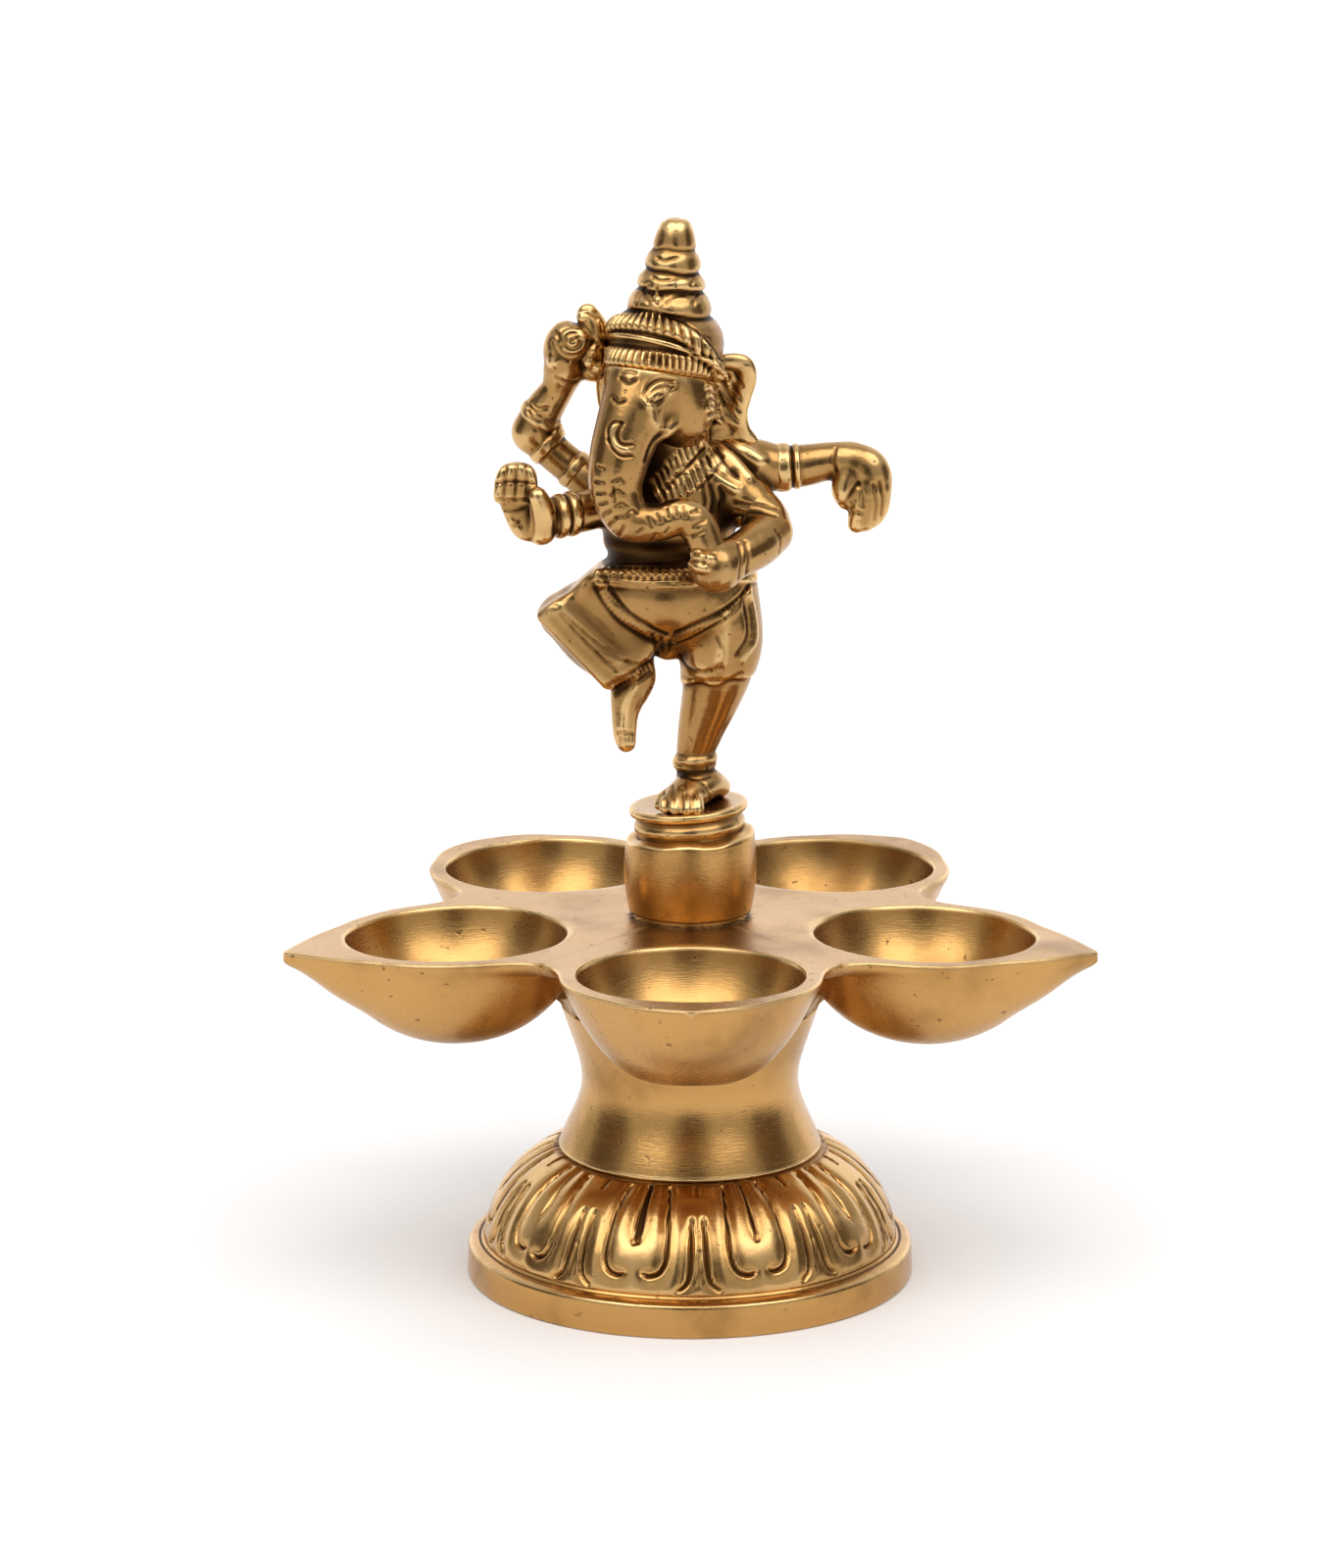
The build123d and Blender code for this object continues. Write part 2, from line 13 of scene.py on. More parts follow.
import bpy
import numpy as np
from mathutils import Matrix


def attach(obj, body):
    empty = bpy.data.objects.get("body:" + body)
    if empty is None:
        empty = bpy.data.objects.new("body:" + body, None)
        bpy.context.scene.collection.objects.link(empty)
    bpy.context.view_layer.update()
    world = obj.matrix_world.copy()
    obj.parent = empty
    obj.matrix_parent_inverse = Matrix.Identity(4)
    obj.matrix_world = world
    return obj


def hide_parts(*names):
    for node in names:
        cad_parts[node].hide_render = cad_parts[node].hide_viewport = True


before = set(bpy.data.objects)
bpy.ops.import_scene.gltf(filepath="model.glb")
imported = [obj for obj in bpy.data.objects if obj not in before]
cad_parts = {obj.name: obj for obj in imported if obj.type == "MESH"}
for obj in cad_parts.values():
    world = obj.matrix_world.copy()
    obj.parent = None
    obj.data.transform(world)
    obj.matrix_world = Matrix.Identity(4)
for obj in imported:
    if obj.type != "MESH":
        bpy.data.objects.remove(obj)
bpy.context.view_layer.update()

MM = 0.001
FAR = 9.0
CELL_CORNERS = np.array(list(product((0, 1), repeat=3)))
# A pair is a radius and a height, or a place on the figure's sheet; a station is a point and the radius there
Pair = tuple[float, float]
Point = tuple[float, float, float]
Station = tuple[float, float, float, float]
Line = list[Pair]
Lines = tuple[Line, ...] | list[Line]
Array = np.ndarray
Grid = tuple[Array, Array, Array]
Material = bpy.types.Material
log = logging.getLogger("aarti_lamp")


class Body(Enum):
    """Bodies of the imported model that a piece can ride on."""

    LAMP = "lamp"
    FIGURE = "figure"


class Rubbing(Enum):
    """Ways that the last rubbing of a round part ran."""

    ROUND = "round it"
    ACROSS = "over its carving"


def srgb(code: str) -> tuple[float, float, float, float]:
    """Turns an sRGB hex code into linear colour.

    Args:
        code: Six hex digits with a leading hash.

    Returns:
        Linear red, green, blue and an alpha of one.
    """
    parts = [int(code[i:i + 2], 16) / 255 for i in (1, 3, 5)]
    linear = [c / 12.92 if c <= 0.04045 else ((c + 0.055) / 1.055) ** 2.4 for c in parts]
    return (*linear, 1.0)


def add_node(tree: bpy.types.NodeTree, kind: str, fed: dict, out: int | str = 0, **values):
    """Adds one node, sets its properties and feeds its sockets.

    Args:
        tree: Node tree that gets the node.
        kind: Blender's type name of the node, without the ShaderNode prefix.
        fed: Socket name or number to a constant, or to an output socket that is linked to it.
        out: Name or number of the output that is wanted.
        values: Properties of the node.

    Returns:
        The wanted output socket, or nothing for a node without outputs.
    """
    node = tree.nodes.new("ShaderNode" + kind)
    for name, value in values.items():
        setattr(node, name, value)
    for socket, value in fed.items():
        if isinstance(value, bpy.types.NodeSocket):
            tree.links.new(value, node.inputs[socket])
        else:
            node.inputs[socket].default_value = value
    return node.outputs[out] if len(node.outputs) else None


def bare_material(name: str) -> tuple[Material, bpy.types.NodeTree]:
    """Makes a material without nodes.

    Args:
        name: Name of the material.

    Returns:
        The material and its empty node tree.
    """
    made = bpy.data.materials.new(name)
    made.use_nodes = True
    made.node_tree.nodes.clear()
    return made, made.node_tree


@dataclass(frozen=True)
class BrassFinish:
    """Yellow brass that was cast, worked and left to darken in its hollows; the same hollow share also
    carries painted shade of corners and recesses.
    """

    name: str
    tone: str = "#c4975a"
    bright: str = "#e2bd84"
    patina: str = "#775026"
    deep: str = "#24150a"
    smooth: float = 0.2
    rough: float = 0.46
    cloud_mm: float = 24.0
    dent_mm: float = 6.0
    pit_mm: float = 2.4
    pit_share: float = 0.4
    line_mm: float = 0.25
    line_depth: float = 0.4
    dent_depth: float = 0.5
    shadowed: float = 0.9
    # Hollow shares where patina and soot set in; they also darken the painted shade that the hollow share
    # carries
    dirt_and_shade_from: float = 0.655
    soot_and_shade_from: float = 0.74

    def material(self) -> Material:
        """Builds the procedural material.

        Returns:
            The material, named after the finish.
        """
        made, tree = bare_material(self.name)
        place = add_node(tree, "TexCoord", {}, "Object")
        hollow = add_node(tree, "Attribute", {}, "Fac", attribute_name="hollow")
        brushed = add_node(tree, "Attribute", {}, "Vector", attribute_name="grain")
        # Slow clouds of tarnish, shallow hammer and file dents, casting pits, lines of the last rubbing
        cloud, dents, pits, lines = (
            add_node(tree, "TexNoise", {
                "Vector": at, "Scale": 1 / (size * MM), "Detail": more, "Roughness": fine,
            }, "Fac")
            for at, size, more, fine in (
                (place, self.cloud_mm, 4.0, 0.55), (place, self.dent_mm, 2.0, 0.5),
                (place, self.pit_mm, 2.5, 0.55), (brushed, self.line_mm, 3.0, 0.6),
            )
        )
        mottled = add_node(tree, "Math", {0: cloud, 1: 0.22, 2: hollow}, operation="MULTIPLY_ADD")
        # Crests are rubbed bright, hollows keep brown patina and, at their bottom, soot and old polish; the
        # hollow share also carries painted shade, which these patina and soot mixes darken too
        worn, tarnish, dirt_and_shade, soot_and_shade, pit = (
            add_node(tree, "MapRange", {0: fed, 1: low, 2: high, 3: first, 4: last},
                     interpolation_type="SMOOTHSTEP")
            for fed, low, high, first, last in (
                (hollow, 0.1, 0.42, 1.0, 0.0), (cloud, 0.46, 0.74, 0.0, 0.5),
                (mottled, self.dirt_and_shade_from, 1.0, 0.0, self.shadowed),
                (hollow, self.soot_and_shade_from, 1.0, 0.0, self.shadowed), (pits, 0.26, 0.33, self.pit_share, 0.0),
            )
        )
        colour = srgb(self.tone)
        for share, tone in ((worn, self.bright), (tarnish, self.patina), (dirt_and_shade, self.patina),
                            (soot_and_shade, self.deep), (pit, self.deep)):
            colour = add_node(tree, "Mix", {0: share, 6: colour, 7: srgb(tone)}, 2, data_type="RGBA")
        dull, height = dirt_and_shade, 0.0
        for fed, weight in ((lines, 0.5), (tarnish, 0.6)):
            dull = add_node(tree, "Math", {0: fed, 1: weight, 2: dull}, operation="MULTIPLY_ADD")
        for fed, weight in ((lines, self.line_depth), (dents, self.dent_depth * 4), (pit, -1.2)):
            height = add_node(tree, "Math", {0: fed, 1: weight, 2: height}, operation="MULTIPLY_ADD")
        rough = add_node(tree, "MapRange", {0: dull, 1: 0.15, 2: 1.0, 3: self.smooth, 4: self.rough})
        bump = add_node(tree, "Bump", {"Height": height, "Strength": 0.5, "Distance": 0.12 * MM})
        metal = add_node(tree, "BsdfPrincipled", {
            "Base Color": colour, "Metallic": 1.0, "Roughness": rough, "Normal": bump,
        })
        add_node(tree, "OutputMaterial", {"Surface": metal})
        return made


@dataclass(frozen=True)
class SteelFinish:
    """Zinc-plated steel of the rod, nut and washer inside the lamp, dulled by handling."""

    name: str = "zinc_plated_steel_dull"
    tone: str = "#a9abac"
    spot: str = "#6d6a64"
    rough: float = 0.38
    spot_mm: float = 4.0

    def material(self) -> Material:
        """Builds the procedural material.

        Returns:
            The material, named after the finish.
        """
        made, tree = bare_material(self.name)
        place = add_node(tree, "TexCoord", {}, "Object")
        # Plating that has spotted grey where fingers and damp reached it
        scale = 1 / (self.spot_mm * MM)
        spots = add_node(tree, "TexNoise", {"Vector": place, "Scale": scale, "Detail": 3.0}, "Fac")
        share = add_node(tree, "MapRange", {0: spots, 1: 0.45, 2: 0.75}, interpolation_type="SMOOTHSTEP")
        tones = {0: share, 6: srgb(self.tone), 7: srgb(self.spot)}
        colour = add_node(tree, "Mix", tones, 2, data_type="RGBA")
        bump = add_node(tree, "Bump", {"Height": spots, "Strength": 0.3, "Distance": 0.1 * MM})
        metal = add_node(tree, "BsdfPrincipled", {
            "Base Color": colour, "Metallic": 1.0, "Roughness": self.rough, "Normal": bump,
        })
        add_node(tree, "OutputMaterial", {"Surface": metal})
        return made


@dataclass(frozen=True)
class PaperFinish:
    """Matt paper of the studio's sweep and cards, without a sheen, which can glow with light from behind."""

    name: str
    tone: str
    glow: float = 0.0
    rough: float = 0.9

    def material(self) -> Material:
        """Builds the material.

        Returns:
            The material, named after the finish.
        """
        made, tree = bare_material(self.name)
        tone = srgb(self.tone)
        paper = add_node(tree, "BsdfPrincipled", {
            "Base Color": tone, "Roughness": self.rough,
            "Emission Color": tone, "Emission Strength": self.glow,
        })
        add_node(tree, "OutputMaterial", {"Surface": paper})
        return made


@dataclass(frozen=True)
class PhotoCamera:
    """Camera of the photograph, fitted to the circles of the foot, column, bowls and drum."""

    eye: Point = (-3.9, -1118.2, 368.5)
    pitch: float = 76.91
    focal: float = 5470.0
    width: int = 1371
    height: int = 1600
    sensor: float = 36.0
    sight: float = 80000.0
    sheet_corner: Pair = (480.0, 200.0)
    sheet_scale: float = 2.376

    def build(self) -> None:
        """Adds the camera to the scene and makes it the scene's camera."""
        lens = bpy.data.cameras.new("photo_camera")
        lens.sensor_width = self.sensor
        lens.lens = self.sensor * self.focal / self.height
        lens.clip_end = self.sight * MM
        lens.dof.use_dof = False
        camera = bpy.data.objects.new("photo_camera", lens)
        camera.location = [c * MM for c in self.eye]
        camera.rotation_euler = (math.radians(self.pitch), 0.0, 0.0)
        bpy.context.scene.collection.objects.link(camera)
        bpy.context.scene.camera = camera

    def rays(self, sheet: Array) -> Array:
        """Turns places on the enlarged sheet of the figure into sight lines.

        Args:
            sheet: Rows of x and y on the sheet, which is a part of the photo enlarged.

        Returns:
            Rows of unit directions from the camera.
        """
        photo = np.asarray(self.sheet_corner) + np.asarray(sheet, float) / self.sheet_scale
        turn = math.radians(self.pitch)
        forward = np.array([0.0, math.sin(turn), -math.cos(turn)])
        up = np.array([0.0, math.cos(turn), math.sin(turn)])
        across = (photo[:, :1] - self.width / 2) * np.array([[1.0, 0.0, 0.0]])
        rise = (self.height / 2 - photo[:, 1:]) * up
        ray = forward * self.focal + across + rise
        return ray / np.linalg.norm(ray, axis=1, keepdims=True)


CAMERA = PhotoCamera()


def make_piece(name: str, verts: Array, quads: Array, hollow: Array, grain: Array,
               body: Body, finish: Material) -> bpy.types.Object:
    """Makes one smooth mesh piece of the lamp.

    Args:
        name: Name of the piece.
        verts: Corners in millimetres.
        quads: Rows of four corner numbers, the last repeated for a triangle.
        hollow: For each corner, from zero on a crest to one in a groove, painted shade of corners and
            recesses included.
        grain: For each corner, its place in the pattern of brush lines, in millimetres.
        body: Body that it rides on.
        finish: Its material.

    Returns:
        The new object.
    """
    mesh = bpy.data.meshes.new(name)
    faces = [q[:3] if q[3] == q[2] else q for q in np.asarray(quads, int).tolist()]
    mesh.from_pydata((verts * MM).tolist(), [], faces)
    shares, lines = hollow.astype(np.float32).ravel(), (grain * MM).astype(np.float32).ravel()
    mesh.attributes.new("hollow", "FLOAT", "POINT").data.foreach_set("value", shares)
    mesh.attributes.new("grain", "FLOAT_VECTOR", "POINT").data.foreach_set("vector", lines)
    mesh.materials.append(finish)
    mesh.shade_smooth()
    mesh.validate()
    piece = bpy.data.objects.new(name, mesh)
    bpy.context.scene.collection.objects.link(piece)
    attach(piece, body.value)
    log.info("%s: %d corners, %d faces", name, len(verts), len(faces))
    return piece


def wrap_quads(rows: int, columns: int) -> Array:
    """Numbers the faces of a grid that closes on itself round its columns.

    Args:
        rows: Number of rings.
        columns: Corners in a ring.

    Returns:
        Rows of four corner numbers.
    """
    i, j = np.meshgrid(np.arange(rows - 1), np.arange(columns), indexing="ij")
    k = (j + 1) % columns
    corners = [i * columns + j, i * columns + k, (i + 1) * columns + k, (i + 1) * columns + j]
    return np.stack([c.ravel() for c in corners], axis=1)


def moved(line: Line, dx: float, dy: float) -> Line:
    """Shifts a line on the figure's sheet to the right and down."""
    return [(x + dx, y + dy) for x, y in line]


def height_along(at: Grid, middle: Point, way: Point) -> Array:
    """Measures how many millimetres places lie from a middle, along a direction of any length."""
    unit = np.array(way) / np.linalg.norm(way)
    return sum((c - m) * u for c, m, u in zip(at, middle, unit))


def run_of(line: Array) -> Array:
    """Gives the length along a polyline at each of its points."""
    return np.concatenate([[0.0], np.cumsum(np.linalg.norm(np.diff(line, axis=0), axis=1))])


def spread(line: Array, count: int) -> Array:
    """Spreads a number of points evenly along a polyline.

    Args:
        line: Rows of coordinates.
        count: Number of points.

    Returns:
        Rows of coordinates, from the first point to the last.
    """
    along = run_of(line)
    wanted = np.linspace(0.0, along[-1], count)
    return np.stack([np.interp(wanted, along, column) for column in line.T], axis=1)


def resample(line: Array, spacing: float) -> Array:
    """Spreads points along a polyline, its ends included, at about the given spacing."""
    return spread(line, max(2, int(math.ceil(run_of(line)[-1] / spacing)) + 1))


def curve_through(points: Array, per_span: int) -> Array:
    """Runs a smooth curve through points.

    Args:
        points: Rows of coordinates.
        per_span: Steps between two of them.

    Returns:
        Rows of coordinates on the curve, ends included.
    """
    points = np.asarray(points, float)
    padded = np.vstack([2 * points[0] - points[1], points, 2 * points[-1] - points[-2]])
    share = np.arange(per_span)[:, None] / per_span
    spans = []
    for a, b, c, d in zip(padded, padded[1:], padded[2:], padded[3:]):
        spans.append(0.5 * (
            2 * b + (c - a) * share + (2 * a - 5 * b + 4 * c - d) * share**2
            + (3 * b - a - 3 * c + d) * share**3
        ))
    return np.vstack([*spans, points[-1:]])


def waver(points: Array, size: float, amount: float, seed: float) -> Array:
    """Gives a slow unevenness, as hand work leaves it.

    Args:
        points: Rows of coordinates in millimetres.
        size: Length of one wave.
        amount: Largest shift.
        seed: Number that sets the pattern.

    Returns:
        One shift per point, in millimetres.
    """
    waves = np.zeros(len(points))
    for k in range(5):
        turns = math.sin(seed + 2.1 * k), math.cos(1.7 * seed + 1.3 * k), math.sin(0.6 * seed - 2.9 * k)
        way = np.array(turns)
        waves += np.sin(points @ way * (2 * math.pi / size) * (0.7 + 0.23 * k) + seed * (k + 1))
    return amount * waves / 5


def arc_through(first: Pair, middle: Pair, last: Pair, count: int) -> Array:
    """Lays points along the circle through three points.

    Args:
        first: Start of the arc.
        middle: Point on it.
        last: End of the arc.
        count: Number of points.

    Returns:
        Rows of two coordinates.
    """
    a, b, c = (np.asarray(p, float) for p in (first, middle, last))
    rows = 2 * np.array([b - a, c - a])
    centre = np.linalg.solve(rows, [b @ b - a @ a, c @ c - a @ a])
    turns = np.unwrap([math.atan2(*(p - centre)[::-1]) for p in (a, b, c)])
    turn = np.linspace(turns[0], turns[2], count)
    radius = np.linalg.norm(a - centre)
    return centre + radius * np.stack([np.cos(turn), np.sin(turn)], axis=1)


def stroke_share(x: Array, y: Array, line: Array) -> Array:
    """Measures how far places are from a chisel stroke, in half widths of it.

    Args:
        x: First coordinates.
        y: Second coordinates.
        line: Rows of two coordinates and the half width there.

    Returns:
        Shares, shaped like x, one at the edge of the stroke.
    """
    best = np.full(x.shape, np.inf)
    for (ax, ay, aw), (bx, by, bw) in zip(line, line[1:]):
        dx, dy = bx - ax, by - ay
        share = np.clip(((x - ax) * dx + (y - ay) * dy) / (dx * dx + dy * dy), 0, 1)
        gap = np.hypot(x - ax - share * dx, y - ay - share * dy)
        best = np.minimum(best, gap / (aw + share * (bw - aw)))
    return best


def soft_max(a: Array, b: Array, soft: float | Array) -> Array:
    """Takes the larger of two fields, with a rounded change between them that is soft wide."""
    share = np.clip(0.5 + 0.5 * (a - b) / soft, 0, 1)
    return b + (a - b) * share + soft * share * (1 - share)


@dataclass
class Lathe:
    """A turned or cast round part: a closed outline carried round the lamp's axis."""

    name: str
    node: str
    slot: str
    body: Body
    columns: int = 256
    uneven: float = 0.05
    uneven_size: float = 23.0
    rubbing: Rubbing = Rubbing.ROUND
    line_circle: float = 1.5
    line_stretch: float = 0.35

    def outline(self) -> Array:
        """Gives the closed outline as rows of radius, height and hollow share, the outside going up."""
        raise NotImplementedError

    def shape(self, verts: Array, hollow: Array) -> None:
        """Works the plain turned form further, on grids of corners and hollow shares of rings by columns."""

    def build(self, finish: Material) -> None:
        """Builds the part in place of its CAD node.

        Args:
            finish: Its material.
        """
        rows = self.outline()
        turn = np.linspace(0, 2 * np.pi, self.columns, endpoint=False)
        verts = np.stack([
            rows[:, :1] * np.cos(turn), rows[:, :1] * np.sin(turn), rows[:, 1:2] + 0 * turn,
        ], axis=2)
        hollow = rows[:, 2:3] + 0 * turn
        self.shape(verts, hollow)
        flat = verts.reshape(-1, 3)
        out = flat * [1, 1, 0] / np.maximum(np.hypot(flat[:, 0], flat[:, 1]), 1e-6)[:, None]
        flat = flat + out * waver(flat, self.uneven_size, self.uneven, len(self.name))[:, None]
        last = np.arange(self.columns)
        after = (last + 1) % self.columns
        bottom = (len(rows) - 1) * self.columns
        closing = np.stack([bottom + last, bottom + after, after, last], axis=1)
        quads = np.vstack([wrap_quads(len(rows), self.columns), closing])
        lines = verts * self.line_stretch
        if self.rubbing is Rubbing.ROUND:
            along = run_of(rows[:, :2])[:, None] + 0 * turn
            around = [self.line_circle * wave + 0 * along for wave in (np.cos(turn), np.sin(turn))]
            lines = np.stack([*around, along], axis=2)
        piece = make_piece(self.name, flat, quads, hollow.ravel(), lines.reshape(-1, 3), self.body, finish)
        if self.node:
            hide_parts(self.node)


@dataclass
class LotusFoot(Lathe):
    """The hollow foot: a moulded plinth and a dome carved with double-lobed petals and spear leaves."""

    columns: int = 720
    rubbing: Rubbing = Rubbing.ACROSS
    plinth_radius: float = 48.5
    plinth_height: float = 7.2
    dome_base: Pair = (44.9, 8.3)
    dome_shoulder: Pair = (39.7, 20.6)
    dome_top: Pair = (29.4, 28.0)
    wall: float = 4.5
    rod_hole: float = 4.4
    crown_under: float = 22.0
    petals: int = 10
    first_spear: float = -88.0
    groove_half: float = 0.45
    groove_deep: float = 0.8
    pillow: float = 0.5
    dome_rows: int = 84

    def moulding(self) -> list[Point]:
        """Lists the plinth's side and the beads on its top, up to the dome.

        Returns:
            Rows of radius, height and hollow share.
        """
        low = self.plinth_height
        rows = [
            (0.7, 0.0, 0.45), (0.2, 0.12, 0.4), (0.0, 0.6, 0.35), (0.05, 2.0, 0.45), (0.12, 4.0, 0.45),
            (0.2, low - 0.9, 0.42), (0.3, low - 0.3, 0.2), (0.6, low, 0.15), (1.1, low + 0.15, 0.3),
            (2.2, low + 0.65, 0.5), (2.5, low + 0.6, 0.8), (2.7, low + 0.35, 1.0), (2.95, low + 0.6, 0.8),
            (3.15, low + 1.0, 0.3), (3.4, low + 1.15, 0.25), (3.6, low + 1.0, 0.6), (3.75, low + 0.85, 0.9),
        ]
        return [(self.plinth_radius - inset, height, hollow) for inset, height, hollow in rows]

    def outline(self) -> Array:
        """Gives the closed outline.

        Returns:
            Rows of radius, height and hollow share, the outside going up.
        """
        edge, top, under = self.plinth_radius, self.dome_top[1], self.crown_under
        dome = arc_through(self.dome_base, self.dome_shoulder, self.dome_top, self.dome_rows)
        dome = np.column_stack([dome, np.full(self.dome_rows, 0.45)])
        inside = arc_through(
            (self.dome_top[0] - self.wall, under),
            (self.dome_shoulder[0] - self.wall, self.dome_shoulder[1] - self.wall),
            (self.dome_base[0] - self.wall, self.plinth_height), 14,
        )
        inside = np.column_stack([inside, np.full(14, 0.75)])
        crown = [(24.0, top, 0.9), (self.rod_hole, top, 0.9), (self.rod_hole, under, 0.9), (14.0, under, 0.8)]
        foot_ring = [(edge - self.wall, 0.1, 0.7), (edge - 3.0, 0.0, 0.6)]
        return np.vstack([self.moulding(), dome, crown, inside, foot_ring])

    def strokes(self) -> list[tuple[float, list[Point]]]:
        """Lists the chisel strokes of half a unit, from a spear's middle to a petal's middle.

        Returns:
            Rows of depth share and points of degrees from the spear, share up the dome and width share.
        """
        spear = [(1.9, 0.63, 0.25), (2.0, 0.54, 0.6), (2.1, 0.42, 0.95), (2.3, 0.28, 1.1), (2.7, 0.17, 1.05),
                 (3.6, 0.09, 0.8), (5.6, 0.035, 0.4)]
        hook = [(10.6, 0.965, 0.45), (9.8, 0.78, 0.55), (9.3, 0.55, 0.65), (9.2, 0.38, 0.8), (9.7, 0.26, 0.9),
                (11.0, 0.185, 0.95), (12.8, 0.155, 0.95), (14.4, 0.15, 0.85), (15.8, 0.165, 0.4)]
        wedge = [(18.0, 0.985, 0.55), (18.0, 0.8, 0.75), (18.0, 0.6, 1.05), (18.0, 0.5, 0.8),
                 (18.0, 0.41, 0.2)]
        tick = [(0.6, 0.985, 0.5), (0.5, 0.86, 0.35)]
        vein = [(0.0, 0.36, 0.3), (0.4, 0.2, 0.5), (0.7, 0.09, 0.4)]
        return [(1.0, spear), (1.05, hook), (1.2, wedge), (0.55, tick), (0.3, vein)]

    def shape(self, verts: Array, hollow: Array) -> None:
        """Carves the petals into the dome.

        Args:
            verts: Grid of corners, rings by columns by three.
            hollow: Grid of hollow shares.
        """
        start = len(self.moulding())
        rows = slice(start, start + self.dome_rows)
        dome = verts[rows]
        radius = np.hypot(dome[..., 0], dome[..., 1])
        turn = np.degrees(np.arctan2(dome[..., 1], dome[..., 0])) - self.first_spear
        unit = 360 / self.petals
        number = np.round(turn / unit)
        sway = 0.55 * np.sin(number * 2.4 + 0.7)
        away = np.abs(turn - number * unit - sway)
        rise = np.linspace(0, 1, self.dome_rows)
        up = rise[:, None] + 0.012 * np.sin(number * 4.1)
        steps = run_of(dome[:, 0])[-1]
        across = np.radians(away) * radius
        nearest = np.full(across.shape, np.inf)
        cut, lip = np.zeros(across.shape), np.zeros(across.shape)
        for deep, stroke in self.strokes():
            line = curve_through(np.array(stroke), 5)
            side = np.radians(line[:, 0]) * np.interp(line[:, 1], rise, radius[:, 0])
            line = np.column_stack([side, line[:, 1] * steps, line[:, 2] * self.groove_half])
            gap = stroke_share(across, up * steps, line)
            cut = np.maximum(cut, deep * self.groove_deep * np.exp(-(gap ** 4) * 0.7))
            lip = np.maximum(lip, deep * np.exp(-(((gap - 1.75) / 0.55) ** 2)))
            if deep > 0.6:
                nearest = np.minimum(nearest, gap)
        swell = self.pillow * (1 - np.exp(-((nearest / 5.0) ** 2)))
        fade = np.clip(np.minimum(up / 0.04, (1.0 - up) / 0.02), 0, 1)
        lift = (swell + 0.13 * lip - cut - 0.3) * fade
        slope = np.gradient(dome[:, 0], axis=0)
        level = np.hypot(slope[:, 0], slope[:, 2])
        out = np.stack([slope[:, 2] / level, -slope[:, 0] / level], axis=1)
        verts[rows, :, 0] += lift * out[:, :1] * dome[..., 0] / radius
        verts[rows, :, 1] += lift * out[:, :1] * dome[..., 1] / radius
        verts[rows, :, 2] += lift * out[:, 1:]
        dark = np.clip(cut / self.groove_deep, 0, 1)
        hollow[rows] = np.clip(0.46 - 0.2 * swell / self.pillow - 0.22 * lip * (1 - dark) + 0.5 * dark, 0, 1)
        hollow[rows] = np.maximum(hollow[rows], np.exp(-((1 - up) / 0.035) ** 2) * 0.8)


@dataclass
class Column(Lathe):
    """The waisted stem between the foot and the tray, turned on the outside."""

    low: float = 28.0
    high: float = 60.0
    foot_radius: float = 28.4
    waist_radius: float = 23.5
    waist_height: float = 43.5
    top_radius: float = 27.8
    core: float = 19.2
    uneven: float = 0.09

    def outline(self) -> Array:
        """Gives the closed outline.

        Returns:
            Rows of radius, height and hollow share, the outside going up.
        """
        side = curve_through(np.array([
            (self.foot_radius - 0.2, self.low + 1.5), (self.waist_radius, self.waist_height),
            (self.top_radius, self.high),
        ]), 44)
        worn = np.full(len(side), 0.45)
        edge = [(self.foot_radius - 1.2, self.low - 0.15, 0.95), (self.foot_radius - 0.25, self.low, 0.5),
                (self.foot_radius + 0.1, self.low + 0.3, 0.0), (self.foot_radius + 0.1, self.low + 0.8, 0.0),
                (self.foot_radius - 0.05, self.low + 1.1, 0.2)]
        core = [(self.core, self.high, 0.8), (self.core, self.low, 0.8)]
        return np.vstack([edge, np.column_stack([side, worn]), core])


@dataclass
class Drum(Lathe):
    """The barrel-shaped block under the figure, its top cut at a slant and brazed to the neck."""

    columns: int = 224
    base: float = 80.8
    height: float = 16.7
    tilt: float = 4.0
    foot_radius: float = 13.25
    belly_radius: float = 14.2
    shoulder_radius: float = 13.8
    bore: float = 5.0

    def outline(self) -> Array:
        """Gives the closed outline.

        Returns:
            Rows of radius, height and hollow share, the outside going up.
        """
        foot, shoulder, high = self.foot_radius, self.shoulder_radius, self.height
        side = arc_through((foot, 0.5), (self.belly_radius, high * 0.6), (shoulder, high - 0.5), 40)
        # Painted shade at the foot of the drum, darkest where it stands on the tray and on its bottom edge
        dull = 0.45 + 0.4 * np.exp(-((side[:, 1]) / 0.8) ** 2)
        low = [(foot - 0.6, 0.0, 1.0), (foot - 0.15, 0.12, 0.9)]
        top = [(shoulder - 0.15, high - 0.15, 0.15), (shoulder - 0.5, high + 0.1, 0.15),
               (shoulder - 1.3, high + 0.4, 0.5), (11.6, high + 0.75, 0.75), (11.0, high + 0.9, 1.0),
               (10.0, high - 0.1, 1.0), (self.bore, high - 0.1, 0.9), (self.bore, 0.0, 0.9)]
        return np.vstack([low, np.column_stack([side, dull]), top])

    def shape(self, verts: Array, hollow: Array) -> None:
        """Slants the top and leaves the uneven edge of the brazing.

        Args:
            verts: Grid of corners, rings by columns by three.
            hollow: Grid of hollow shares, not used here.
        """
        share = verts[..., 2] / self.height
        slant = verts[..., 0] * math.tan(math.radians(self.tilt))
        turn = np.arctan2(verts[..., 1], verts[..., 0])
        wave = 0.28 * np.sin(3 * turn + 1.2) + 0.2 * np.sin(7 * turn + 0.4)
        verts[..., 2] += self.base + share**3 * (slant + wave * np.clip(share * 8 - 7, 0, 1))


